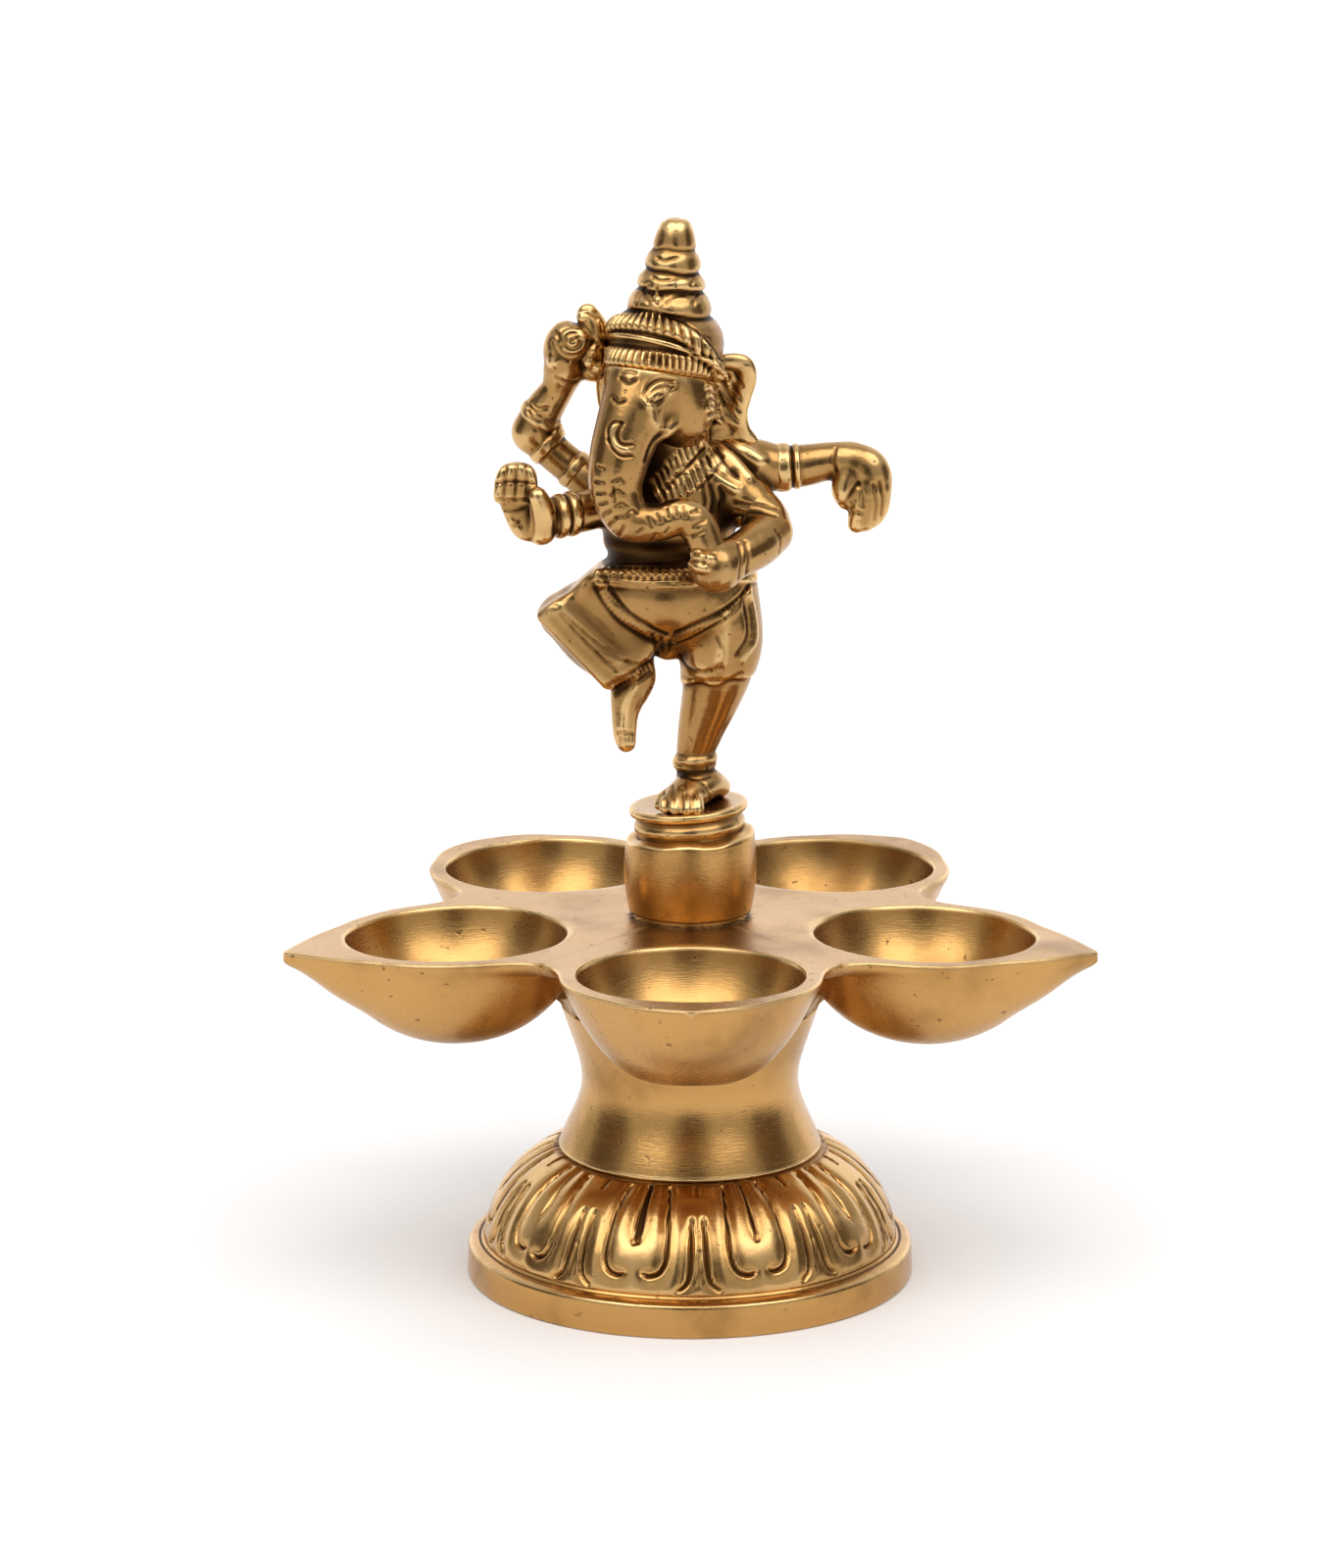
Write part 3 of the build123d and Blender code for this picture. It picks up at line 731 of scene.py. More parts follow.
@dataclass
class BowlTray:
    """The cast tray: a star plate with five pointed oil bowls and the collar that meets the column."""

    top: float = 80.0
    circle: float = 52.315
    bowls: int = 5
    outer: float = 27.2
    outer_depth: float = 22.7
    mouth: float = 23.7
    depth: float = 20.0
    reach: float = 37.7
    fullness: float = 1.14
    plate: float = 4.6
    hub: float = 42.5
    fillet: float = 18.0
    flare: float = 3.0
    collar_low: Pair = (27.8, 20.0)
    collar_high: Pair = (36.5, 3.0)
    edge_round: float = 0.55
    rim_round: float = 0.4
    search_to: float = 64.0
    lip_back: tuple[float, ...] = (6.2, 0.0, 6.2, 8.6, 0.0)
    lip_from: float = 20.0
    spokes: int = 260
    lift_front: float = 1.4
    lift_side: float = -1.3
    lift_rear: float = 0.2
    warp: float = 0.16
    warp_size: float = 34.0
    # Radius of the painted shadow ring round the drum's foot
    seat_radius: float = 12.6

    def share(self, u: Array) -> Array:
        """Gives the size of a section across a bowl, against the one through its middle.

        Args:
            u: Distance outwards from the bowl's middle.

        Returns:
            Shares from zero to one.
        """
        touch = self.outer**2 / self.reach
        at_touch = math.sqrt(1 - (touch / self.outer) ** 2)
        round_part = np.sqrt(np.clip(1 - (u / self.outer) ** 2, 0, 1))
        run = np.clip((u - touch) / (self.reach - touch), 0, 1)
        beak = at_touch * (1 - run) * (1 + (self.fullness - 1) * 6.75 * run**2 * (1 - run)) + 0.03 * run
        return np.where(u < touch, round_part, np.where(u < self.reach, beak, 0))

    def neighbours(self, u: Array, v: Array) -> list[tuple[Array, Array]]:
        """Turns places into the frames of a bowl and of the two beside it.

        Args:
            u: Distance outwards from the bowl's middle.
            v: Distance to the side.

        Returns:
            Pairs of u and v, the bowl itself first.
        """
        x = u + self.circle
        pairs = []
        for k in (0, 1, -1):
            c, s = math.cos(2 * math.pi * k / self.bowls), math.sin(2 * math.pi * k / self.bowls)
            pairs.append((x * c + v * s - self.circle, v * c - x * s))
        return pairs

    def plan(self, u: Array, v: Array) -> Array:
        """Measures places against the star outline.

        Args:
            u: Distance outwards from the bowl's middle.
            v: Distance to the side.

        Returns:
            Rough distances to the outline, negative inside.
        """
        touch = self.outer**2 / self.reach
        slope = math.sqrt(1 - (touch / self.outer) ** 2) * self.outer / (self.reach - touch)
        inside = self.hub - np.hypot(u + self.circle, v)
        for u, v in self.neighbours(u, v):
            beak = (np.abs(v) - self.outer * self.share(u)) / math.hypot(1, slope)
            tip = np.where(u < self.reach, beak, np.hypot(u - self.reach, v))
            inside = soft_max(inside, -np.where(u < touch, np.hypot(u, v) - self.outer, tip), self.fillet)
        return -inside

    def underside(self, u: Array, v: Array) -> Array:
        """Gives the depth of the casting below its top.

        Args:
            u: Distance outwards from the bowl's middle.
            v: Distance to the side.

        Returns:
            Depths in millimetres.
        """
        inside = np.clip(-self.plan(u, v) / 5.0, 0, 1)
        deep = self.plate * np.sqrt(np.clip(1 - (1 - inside) ** 2, 0, 1))
        soft = 0.05 + 3.2 * inside
        for across, aside in self.neighbours(u, v):
            wide = np.maximum(self.share(across), 1e-3)
            side = np.clip(np.abs(aside) / (self.outer * wide), 0, 1)
            deep = soft_max(deep, self.outer_depth * wide * (1 - side**self.flare), soft)
        out = np.hypot(u + self.circle, v)
        rise = np.clip((self.collar_high[0] - out) / (self.collar_high[0] - self.collar_low[0]), 0, 1)
        collar = self.collar_high[1] + (self.collar_low[1] - self.collar_high[1]) * rise**1.25
        deep = np.where(out < self.collar_high[0], soft_max(deep, collar, 3.0), deep)
        return np.where(out < self.collar_low[0], self.collar_low[1], deep)

    def edges(self, c: Array, s: Array) -> tuple[Array, Array]:
        """Finds how far the casting reaches along spokes from a bowl's middle.

        Args:
            c: Share of each spoke that runs outwards.
            s: Share of it that runs to the side.

        Returns:
            Lengths of the spokes, and which of them end at the next sector.
        """
        reach = np.linspace(self.mouth, self.search_to, 900)[:, None]
        outside = self.plan(reach * c, reach * s) > 0
        edge = np.where(outside.any(axis=0), reach[np.argmax(outside, axis=0), 0], np.inf)
        slope = math.tan(math.pi / self.bowls)
        across = np.abs(s) - c * slope
        wall = np.where(across > 1e-6, self.circle * slope / np.maximum(across, 1e-6), np.inf)
        return np.minimum(edge, wall), wall < edge

    def sector(self) -> tuple[Array, Array, Array, Array, int]:
        """Lays a grid over one bowl and its share of the plate, from the bowl's bottom to the underside.

        Returns:
            Grids of u, v and height below zero, of hollow shares and of brush coordinates, the spokes that
            end at the next sector, and the number of rows on top.
        """
        t = np.linspace(-np.pi, np.pi, self.spokes, endpoint=False)
        way = t - 0.42 * np.sin(t)
        c, s = np.cos(way), np.sin(way)
        edge, inner = self.edges(c, s)
        ball = (self.mouth**2 + self.depth**2) / (2 * self.depth)
        rim = self.mouth - self.rim_round / 2
        rows = []
        for a in np.linspace(0.0, 1.0, 26) * np.arcsin(rim / ball):
            radius = ball * math.sin(a)
            shade = 0.42 + 0.12 * math.exp(-((radius / 14) ** 2))
            rows.append((radius, ball - self.depth - ball * math.cos(a), shade, ball * a))
        for turn in np.linspace(0.25, 1.0, 4):
            out = math.sin(turn * math.pi / 2)
            radius = rim + self.rim_round * out
            rows.append((radius, -0.25 * (1 - out), 0.1, radius + 10))
        start = rim + self.rim_round
        stop = np.where(inner, edge, edge - self.edge_round)
        for k in np.linspace(0, 1, 10)[1:]:
            shade = np.where(inner | (k < 0.95), 0.42, 0.2)
            rows.append((start + (stop - start) * k, 0.0, shade, 40 + 20 * k))
        for k in np.linspace(0.3, 1.0, 3):
            turn = k * math.pi / 2
            radius = np.where(inner, edge, edge - self.edge_round * (1 - math.sin(turn)))
            height = np.where(inner, 0, -self.edge_round * (1 - math.cos(turn)))
            rows.append((radius, height, np.where(inner, 0.42, 0.12), 60 + k))
        top_rows = len(rows)
        for k in np.linspace(0.97, 0.0, 30):
            radius = edge * math.sin(k * math.pi / 2)
            low = -self.underside(radius * c, radius * s)
            height = np.where(inner, low, np.minimum(low, -self.edge_round))
            rows.append((radius, height, 0.46, 62 + 40 * (1 - k)))
        radius, height, tint, along = (np.array([row[i] + 0 * c for row in rows]) for i in range(4))
        places = np.stack([radius * c, radius * s, height], axis=2)
        lines = np.stack([1.5 * c + 0 * along, 1.5 * s + 0 * along, along], axis=2)
        return places, tint, lines, inner, top_rows

    def build(self, finish: Material) -> None:
        """Builds the tray from five sectors.

        Args:
            finish: Its material.
        """
        places, tint, lines, inner, top_rows = self.sector()
        u, v, z = np.moveaxis(places, 2, 0)
        quads = wrap_quads(len(places), self.spokes)
        at_wall = inner[quads % self.spokes].all(axis=1)
        at_wall &= (quads // self.spokes).min(axis=1) == top_rows - 1
        run = np.clip((u - self.lip_from) / (self.reach - self.lip_from), 0, 1)
        every, faces, grain = [], [], []
        for k, back in enumerate(self.lip_back):
            turn = math.radians(-90 + 360 * k / self.bowls)
            out = self.circle + (u - back * run**2)
            x = out * math.cos(turn) - v * math.sin(turn)
            y = out * math.sin(turn) + v * math.cos(turn)
            every.append(np.stack([x, y, z + self.top], axis=2).reshape(-1, 3))
            faces.append(quads[~at_wall] + k * u.size)
            grain.append(lines.reshape(-1, 3) + [0, 0, 137.0 * k])
        verts = np.vstack(every)
        _, first, again = np.unique(np.round(verts, 3), axis=0, return_index=True, return_inverse=True)
        verts = self.settle(verts[first])
        quads = self.drop_slivers(again.ravel()[np.vstack(faces)])
        # The painted shadow and shade from shade() are added to the hollow share
        hollow = np.clip(np.tile(tint.ravel(), self.bowls)[first] + self.shade(verts), 0, 1)
        grain = np.vstack(grain)[first]
        piece = make_piece("bowl_tray_casting", verts, quads, hollow, grain, Body.LAMP, finish)
        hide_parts("bowl_tray")

    @staticmethod
    def drop_slivers(quads: Array) -> Array:
        """Turns faces with doubled corners into triangles and drops those without area.

        Args:
            quads: Rows of four corner numbers.

        Returns:
            Rows of four corner numbers, the last two equal for a triangle.
        """
        kept = []
        for quad in quads.tolist():
            corners = [c for i, c in enumerate(quad) if c != quad[i - 1]]
            if len(set(corners)) == 4:
                kept.append(corners)
            elif len(set(corners)) == 3 and len(corners) == 3:
                kept.append([*corners, corners[-1]])
        return np.array(kept)

    def shade(self, verts: Array) -> Array:
        """Paints shade onto the tray: a shadow ring round the drum's foot on its top, and shade under the
        plate near the collar.

        Args:
            verts: Corners of the tray.

        Returns:
            Shares to add to the hollow of each corner.
        """
        out = np.hypot(verts[:, 0], verts[:, 1])
        # Painted shadow ring round the drum's foot, on the tray's top only
        seat = np.exp(-(out - self.seat_radius) ** 2) * (verts[:, 2] > self.top - 2)
        # Painted shade on the underside near the collar, growing with depth below the plate
        below = np.clip((self.top - 4 - verts[:, 2]) / 12, 0, 1) * np.clip((40 - out) / 8, 0, 1)
        return 0.5 * seat + 0.08 * below

    def settle(self, verts: Array) -> Array:
        """Warps the plain form as the hand-made casting is warped.

        Args:
            verts: Corners of the plain form.

        Returns:
            Corners of the warped form.
        """
        steps = np.radians([0.0, 72.0, 144.0])
        table = np.stack([np.ones(3), np.cos(steps), np.cos(2 * steps)], axis=1)
        weights = np.linalg.solve(table, [self.lift_front, self.lift_side, self.lift_rear])
        turn = np.arctan2(verts[:, 1], verts[:, 0]) + np.pi / 2
        out = np.hypot(verts[:, 0], verts[:, 1])
        lift = weights[0] + weights[1] * np.cos(turn) + weights[2] * np.cos(2 * turn)
        grow = np.clip((out - 30) / 60, 0, 1.1) ** 1.3
        verts = verts.copy()
        warp = waver(verts, self.warp_size, self.warp, 3.0) * np.clip((out - 16) / 8, 0, 1)
        verts[:, 2] += lift * grow + warp
        return verts


class Form:
    """A shape that can be pressed into clay."""

    def parts(self) -> list["Form"]:
        """Gives the simple forms that make up the shape, itself where it is one."""
        return [self]

    def box(self) -> tuple[Array, Array]:
        """Gives the lowest and highest corner of the box round the shape."""
        raise NotImplementedError

    def measure(self, at: Grid) -> Array:
        """Gives the distances of places, grids of x, y and z, to the surface, negative inside."""
        raise NotImplementedError


@dataclass
class Taper(Form):
    """A bar with round ends between two stations, round or flattened."""

    start: Array
    end: Array
    flat: Station | None

    def box(self) -> tuple[Array, Array]:
        """Measures the box round the bar.

        Returns:
            Its lowest and highest corner.
        """
        ends = np.array([self.start, self.end])
        reach = ends[:, 3].max()
        return ends[:, :3].min(axis=0) - reach, ends[:, :3].max(axis=0) + reach

    def measure(self, at: Grid) -> Array:
        """Measures places against the bar.

        Args:
            at: Grids of x, y and z.

        Returns:
            Distances, negative inside.
        """
        a, b = self.start.astype(np.float32), self.end.astype(np.float32)
        way = b - a
        length = max(float(way[:3] @ way[:3]), 1e-6)
        dx, dy, dz = (c - a[i] for i, c in enumerate(at))
        share = np.clip((dx * way[0] + dy * way[1] + dz * way[2]) / length, 0, 1)
        dx, dy, dz = dx - share * way[0], dy - share * way[1], dz - share * way[2]
        square = dx * dx + dy * dy + dz * dz
        radius = a[3] + share * way[3]
        if self.flat is None:
            return np.sqrt(square) - radius
        side = dx * self.flat[0] + dy * self.flat[1] + dz * self.flat[2]
        pressed = np.sqrt(square + side * side * (1 / self.flat[3] ** 2 - 1)) + 1e-6
        return (pressed - radius) * np.sqrt(square) / pressed


@dataclass
class Limb(Form):
    """A tube through stations of x, y, z and radius, which can be flattened by a share along a direction."""

    stations: list[Station]
    flat: Station | None = None
    per_span: int = 8

    def parts(self) -> list[Form]:
        """Gives the tube as a row of short bars."""
        path = curve_through(np.array(self.stations), self.per_span)
        return [Taper(a, b, self.flat) for a, b in zip(path, path[1:])]


@dataclass
class Oval(Form):
    """An egg shape, turned about the upright axis."""

    centre: Point
    radii: Point
    turn: float = 0.0

    def box(self) -> tuple[Array, Array]:
        """Gives the lowest and highest corner of the box round the egg."""
        return np.array(self.centre) - max(self.radii), np.array(self.centre) + max(self.radii)

    def measure(self, at: Grid) -> Array:
        """Measures places against the egg.

        Args:
            at: Grids of x, y and z.

        Returns:
            Distances, negative inside.
        """
        c, s = math.cos(math.radians(self.turn)), math.sin(math.radians(self.turn))
        rx, ry, rz = self.radii
        dx, dy, dz = (g - self.centre[i] for i, g in enumerate(at))
        px, py, pz = (dx * c + dy * s) / rx, (dy * c - dx * s) / ry, dz / rz
        near = np.sqrt(px * px + py * py + pz * pz) + 1e-6
        slope = np.sqrt((px / rx) ** 2 + (py / ry) ** 2 + (pz / rz) ** 2) + 1e-6
        return near * (near - 1) / slope


@dataclass
class Turned(Form):
    """A form of revolution on a leaning axis, its rings given as radius and height."""

    base: Point
    axis: Point
    rings: list[Pair]
    uneven: float = 0.0

    def box(self) -> tuple[Array, Array]:
        """Measures the box round the form.

        Returns:
            Its lowest and highest corner.
        """
        rings = np.array(self.rings)
        way = np.array(self.axis) / np.linalg.norm(self.axis)
        ends = np.array(self.base) + rings[[0, -1], 1:] * way
        return ends.min(axis=0) - rings[:, 0].max(), ends.max(axis=0) + rings[:, 0].max()

    def measure(self, at: Grid) -> Array:
        """Measures places against the turned side and the flat ends.

        Args:
            at: Grids of x, y and z.

        Returns:
            Distances, negative inside.
        """
        rings = np.array(self.rings)
        dx, dy, dz = (g - self.base[i] for i, g in enumerate(at))
        along = height_along(at, self.base, self.axis)
        out = np.sqrt(np.maximum(dx * dx + dy * dy + dz * dz - along * along, 0))
        turn = np.arctan2(dy, dx)
        wave = self.uneven * (np.sin(turn * 2 + along * 0.8) + 0.6 * np.sin(turn * 5 - along * 1.3))
        side = (out - np.interp(along + 1.6 * wave, rings[:, 1], rings[:, 0]) - 0.5 * wave) * 0.8
        return np.maximum(side, np.maximum(rings[0, 1] - along, along - rings[-1, 1]))


@dataclass
class Slab(Form):
    """A flat piece with rounded edges: an outline of x and z between a near and a far face."""

    outline: list[Pair]
    near: float
    far: float
    edge: float
    lean: float = 0.0

    def box(self) -> tuple[Array, Array]:
        """Measures the box round the slab.

        Returns:
            Its lowest and highest corner.
        """
        low, high = np.min(self.outline, axis=0), np.max(self.outline, axis=0)
        sway = abs(self.lean) * (high - low)[0]
        return np.array([low[0], self.near - sway, low[1]]), np.array([high[0], self.far + sway, high[1]])

    def measure(self, at: Grid) -> Array:
        """Measures places against the faces and the flanks.

        Args:
            at: Grids of x, y and z.

        Returns:
            Distances, negative inside.
        """
        x, y, z = at
        points = np.array(self.outline)
        middle = points.mean(axis=0)
        sides = np.roll(points, -1, axis=0) - points
        square = np.column_stack([sides[:, 1], -sides[:, 0]]) / np.linalg.norm(sides, axis=1)[:, None]
        square *= np.sign(((points - middle) * square).sum(axis=1))[:, None]
        back = self.lean * (x - middle[0])
        depth = np.abs(y - back - (self.near + self.far) / 2) - (self.far - self.near) / 2
        flank = np.full((x.size, 1, z.size), -FAR, np.float32)
        for point, way in zip(points, square):
            flank = soft_max(flank, (x - point[0]) * way[0] + (z - point[1]) * way[1], self.edge)
        return soft_max(flank + 0 * y, depth, self.edge)


@dataclass
class Clay:
    """A block of clay: distances to its surface on a grid, negative inside."""

    low: Point
    high: Point
    step: float
    mark_spacing: float = 4.0
    # Spacing of the points along lines of painted shade
    painted_shade_spacing: float = 8.0
    leap: float = 2.5
    flat_share: float = 0.53
    # Sizes and weights of the averages that find hollows: the fine one finds grooves, the broad one adds
    # painted shade to recesses
    probes: tuple[Pair, ...] = ((0.8, 1.7), (2.4, 0.42))

    def __post_init__(self) -> None:
        """Takes an empty block."""
        self.corner = np.array(self.low, np.float32)
        counts = np.ceil((np.array(self.high) - np.array(self.low)) / self.step).astype(int) + 1
        steps = [np.float32(self.step) * np.arange(count, dtype=np.float32) for count in counts]
        self.axes = [start + run for start, run in zip(self.corner, steps)]
        self.field = np.full(counts, FAR, np.float32)
        # Lines of painted shade, each with its reach and amount
        self.painted_shades: list[tuple[Array, float, float]] = []

    def window(self, low: Point, high: Point, pad: float = 0.0) -> tuple[tuple[slice, ...], Grid]:
        """Finds the part of the grid round a form.

        Args:
            low: Lowest corner of the form.
            high: Highest corner of the form.
            pad: Room left round it.

        Returns:
            Slices of the grid, and its x, y and z ready to be combined.
        """
        spans = []
        for i in range(3):
            start = max(0, int((low[i] - pad - self.corner[i]) / self.step))
            stop = min(len(self.axes[i]), int((high[i] + pad - self.corner[i]) / self.step) + 2)
            spans.append(slice(start, max(start, stop)))
        x, y, z = (self.axes[i][spans[i]] for i in range(3))
        return tuple(spans), (x[:, None, None], y[None, :, None], z[None, None, :])

    def press(self, form: Form, soft: float = 0.0) -> None:
        """Adds a form to the clay.

        Args:
            form: The form.
            soft: Width of the rounded change between the form and the clay.
        """
        pad = 1.5 * soft + 2.5
        pressed = np.full(self.field.shape, FAR, np.float32)
        boxes = []
        for part in form.parts():
            boxes.append(part.box())
            spans, at = self.window(*boxes[-1], pad)
            pressed[spans] = np.minimum(pressed[spans], part.measure(at))
        boxes = np.array(boxes)
        spans, _ = self.window(boxes[:, 0].min(axis=0), boxes[:, 1].max(axis=0), pad)
        self.field[spans] = -soft_max(-self.field[spans], -pressed[spans], max(soft, 1e-3))

    def lift(self, spans: tuple[slice, ...], amount: Array) -> None:
        """Raises the surface in a window of the grid by millimetres, negative ones to sink it."""
        self.field[spans] -= amount.astype(np.float32)

    def trim(self, middle: Point, way: Point, side: int) -> None:
        """Cuts the clay off along a plane, keeping what lies along its direction (1) or the rest (-1)."""
        at = np.meshgrid(*self.axes, indexing="ij", sparse=True)
        self.field = np.maximum(self.field, -side * height_along(at, middle, way))

    def ring(self, middle: Point, way: Point, half: float, rise: float, reach: float, flutes: int = 0,
             droop: float = 0.0) -> None:
        """Lays a raised band round a limb or the cap.

        Args:
            middle: Middle of the ring.
            way: Direction square to the ring.
            half: Half width of the band.
            rise: How far it stands out.
            reach: How far from the middle clay is raised.
            flutes: Number of flutes round it, none for a plain band.
            droop: How fast the band sinks towards the right.
        """
        spans, at = self.window(np.array(middle) - reach, np.array(middle) + reach)
        across, deep = at[0] - middle[0], at[1] - middle[1]
        height = height_along(at, middle, way) + droop * np.maximum(across, 0) ** 2
        turn = np.arctan2(deep, across)
        flute = 0.5 + 0.5 * np.cos(turn * flutes + 0.5 * np.sin(turn * 3))
        edge = 0.45 * np.exp(-((np.abs(height) - half - 0.35) / 0.35) ** 2)
        self.lift(spans, rise * (0.35 + 0.65 * flute) * np.exp(-(height / half) ** 6) - 0.5 * rise * edge)

    def sample(self, points: Array) -> Array:
        """Reads the distance at free places.

        Args:
            points: Rows of coordinates.

        Returns:
            One distance per row.
        """
        limit = np.array(self.field.shape) - 2
        spot = (points - self.corner) / self.step
        whole = np.clip(np.floor(spot).astype(int), 0, limit)
        part = np.clip(spot - whole, 0, 1)
        total = np.zeros(len(points))
        for bits in CELL_CORNERS:
            weight = np.prod(np.where(bits, part, 1 - part), axis=1)
            total += weight * self.field[tuple((whole + bits).T)]
        return total

    def hits(self, sheet: Array) -> Array:
        """Finds where the sight lines of the figure's sheet first meet the clay.

        Args:
            sheet: Rows of x and y on the sheet.

        Returns:
            Rows of coordinates, those of missing lines left out.
        """
        rays = CAMERA.rays(sheet)
        eye = np.array(CAMERA.eye)
        front, back = self.axes[1][0], self.axes[1][-1]
        near, far = (front - eye[1]) / rays[:, 1], (back - eye[1]) / rays[:, 1]
        count = int((back - front) / (0.5 * self.step)) + 1
        reach = near[:, None] + (far - near)[:, None] * np.linspace(0, 1, count)
        places = eye + rays[:, None, :] * reach[..., None]
        values = self.sample(places.reshape(-1, 3)).reshape(reach.shape)
        inside = values < 0
        first = np.argmax(inside, axis=1)
        rows = np.arange(len(rays))
        met = inside.any(axis=1) & (first > 0)
        before, after = values[rows, first - 1], values[rows, first]
        share = before / np.where(before == after, 1.0, before - after)
        at = reach[rows, first - 1] + share * (reach[rows, first] - reach[rows, first - 1])
        return (eye + rays * at[:, None])[met]

    def stroke(self, path: Array, half: float, deep: float) -> None:
        """Cuts a groove along a path on the surface, or lays a raised line.

        Args:
            path: Rows of coordinates.
            half: Half width of the groove.
            deep: Its depth, negative for a raised line.
        """
        reach = 2.4 * half
        spans, (x, y, z) = self.window(path.min(axis=0), path.max(axis=0), reach)
        near = np.full((x.size, y.size, z.size), 1e6, np.float32)
        for a, b in zip(path, path[1:] if len(path) > 1 else path):
            inner, at = self.window(np.minimum(a, b), np.maximum(a, b), reach)
            local = tuple(slice(s.start - c.start, s.stop - c.start) for s, c in zip(inner, spans))
            way = b - a
            dx, dy, dz = (c - a[i] for i, c in enumerate(at))
            share = np.clip((dx * way[0] + dy * way[1] + dz * way[2]) / max(float(way @ way), 1e-9), 0, 1)
            gap = (dx - share * way[0]) ** 2 + (dy - share * way[1]) ** 2 + (dz - share * way[2]) ** 2
            near[local] = np.minimum(near[local], gap)
        self.lift(spans, -deep * np.exp(-near / half**2))

    def mark(self, line: Line, half: float, deep: float) -> None:
        """Cuts or raises a curved line drawn on the figure's sheet.

        Args:
            line: Points of x and y on the sheet.
            half: Half width of the line.
            deep: Its depth, negative for a raised line.
        """
        path = np.array(line, float)
        found = self.hits(resample(curve_through(path, 4) if len(line) > 2 else path, self.mark_spacing))
        leaps = np.linalg.norm(np.diff(found, axis=0), axis=1) > self.leap
        for piece in np.split(found, np.nonzero(leaps)[0] + 1):
            if len(piece):
                self.stroke(piece, half, deep)

    def marks(self, lines: Lines, half: float, deep: float) -> None:
        """Cuts or raises several lines with one tool, as mark does."""
        for line in lines:
            self.mark(line, half, deep)

    def paint_shade(self, line: Line, reach: float, amount: float) -> None:
        """Paints shade along a line on the sheet, darkening the surface in a corner where shadow falls."""
        found = self.hits(resample(np.array(line, float), self.painted_shade_spacing))
        self.painted_shades.append((found, reach, amount))

    def ticks(self, upper: Line, lower: Line, count: int, half: float, deep: float) -> None:
        """Cuts a number of short strokes that run from an upper to a lower line on the figure's sheet."""
        ends = [spread(curve_through(np.array(line, float), 8), count) for line in (upper, lower)]
        self.marks([[tuple(start), tuple(end)] for start, end in zip(*ends)], half, deep)

    @staticmethod
    def averaged(field: Array, reach: int) -> Array:
        """Averages a field over a small cube.

        Args:
            field: The field.
            reach: Grid steps to each side.

        Returns:
            The averaged field.
        """
        width = 2 * reach + 1
        for axis in range(3):
            pads = [(0, 0)] * 3
            pads[axis] = (reach + 1, reach)
            total = np.cumsum(np.pad(field, pads, mode="edge"), axis=axis, dtype=np.float32)
            size = field.shape[axis]
            ends = np.take(total, range(width, width + size), axis)
            field = (ends - np.take(total, range(size), axis)) / width
        return field

    def soften(self) -> None:
        """Rubs the clay over with a wet thumb."""
        self.field = self.averaged(self.field, 1)

    def corners(self, inside: Array) -> tuple[Array, Array]:
        """Sets one corner of the mesh in each grid cell that the surface passes through.

        Args:
            inside: True at each grid point inside the clay.

        Returns:
            Rows of coordinates, and a grid with the corner's number in each cell, minus one in empty cells.
        """
        count = np.zeros(np.array(inside.shape) - 1, np.int8)
        nx, ny, nz = count.shape
        for i, j, k in CELL_CORNERS:
            count += inside[i:nx + i, j:ny + j, k:nz + k]
        cells = np.argwhere((count > 0) & (count < 8))
        number = np.full(count.shape, -1, np.int64)
        number[tuple(cells.T)] = np.arange(len(cells))
        values = np.stack([self.field[tuple((cells + c).T)] for c in CELL_CORNERS], axis=1)
        total, crossings = np.zeros((len(cells), 3)), np.zeros(len(cells))
        for a, b in combinations(range(8), 2):
            along = CELL_CORNERS[b] - CELL_CORNERS[a]
            if np.abs(along).sum() == 1:
                split = (values[:, a] < 0) != (values[:, b] < 0)
                share = values[split, a] / (values[split, a] - values[split, b])
                total[split] += CELL_CORNERS[a] + share[:, None] * along
                crossings[split] += 1
        return self.corner + (cells + total / crossings[:, None]) * self.step, number

    @staticmethod
    def faces(inside: Array, number: Array) -> Array:
        """Joins the corners round each grid edge that the surface crosses.

        Args:
            inside: True at each grid point inside the clay.
            number: Grid with the corner's number in each cell.

        Returns:
            Rows of four corner numbers.
        """
        quads = []
        for axis in range(3):
            u, v = (axis + 1) % 3, (axis + 2) % 3
            changed = np.argwhere(np.diff(inside, axis=axis))
            keep = (changed[:, u] > 0) & (changed[:, v] > 0)
            keep &= (changed[:, u] < inside.shape[u] - 1) & (changed[:, v] < inside.shape[v] - 1)
            changed = changed[keep]
            ring = []
            for du, dv in ((-1, -1), (0, -1), (0, 0), (-1, 0)):
                cell = changed.copy()
                cell[:, u] += du
                cell[:, v] += dv
                ring.append(number[tuple(cell.T)])
            ring = np.stack(ring, axis=1)
            quads.append(np.where(inside[tuple(changed.T)][:, None], ring, ring[:, ::-1]))
        return np.vstack(quads)

    def hollows(self, verts: Array) -> Array:
        """Tells grooves from crests, by how the surface lies against its fine and broad averages, the broad
        one adding painted shade to recesses, and adds the painted shade laid along lines.

        Args:
            verts: Corners of the mesh.

        Returns:
            The hollow share of each corner.
        """
        hollow = np.full(len(verts), self.flat_share)
        raw = self.field
        # The fine average darkens grooves, the broad one paints shade into recesses
        for size, weight in self.probes:
            self.field = self.averaged(np.clip(raw, -4.0, 4.0), max(2, round(size / self.step)))
            hollow -= weight * self.sample(verts)
        self.field = raw
        # Painted shade along lines on the sheet, where shadow falls in corners
        for path, reach, amount in self.painted_shades:
            if len(path):
                near = np.min(((verts[:, None, :] - path) ** 2).sum(axis=2), axis=1)
                hollow += amount * np.exp(-near / reach**2)
        return np.clip(hollow, 0, 1)


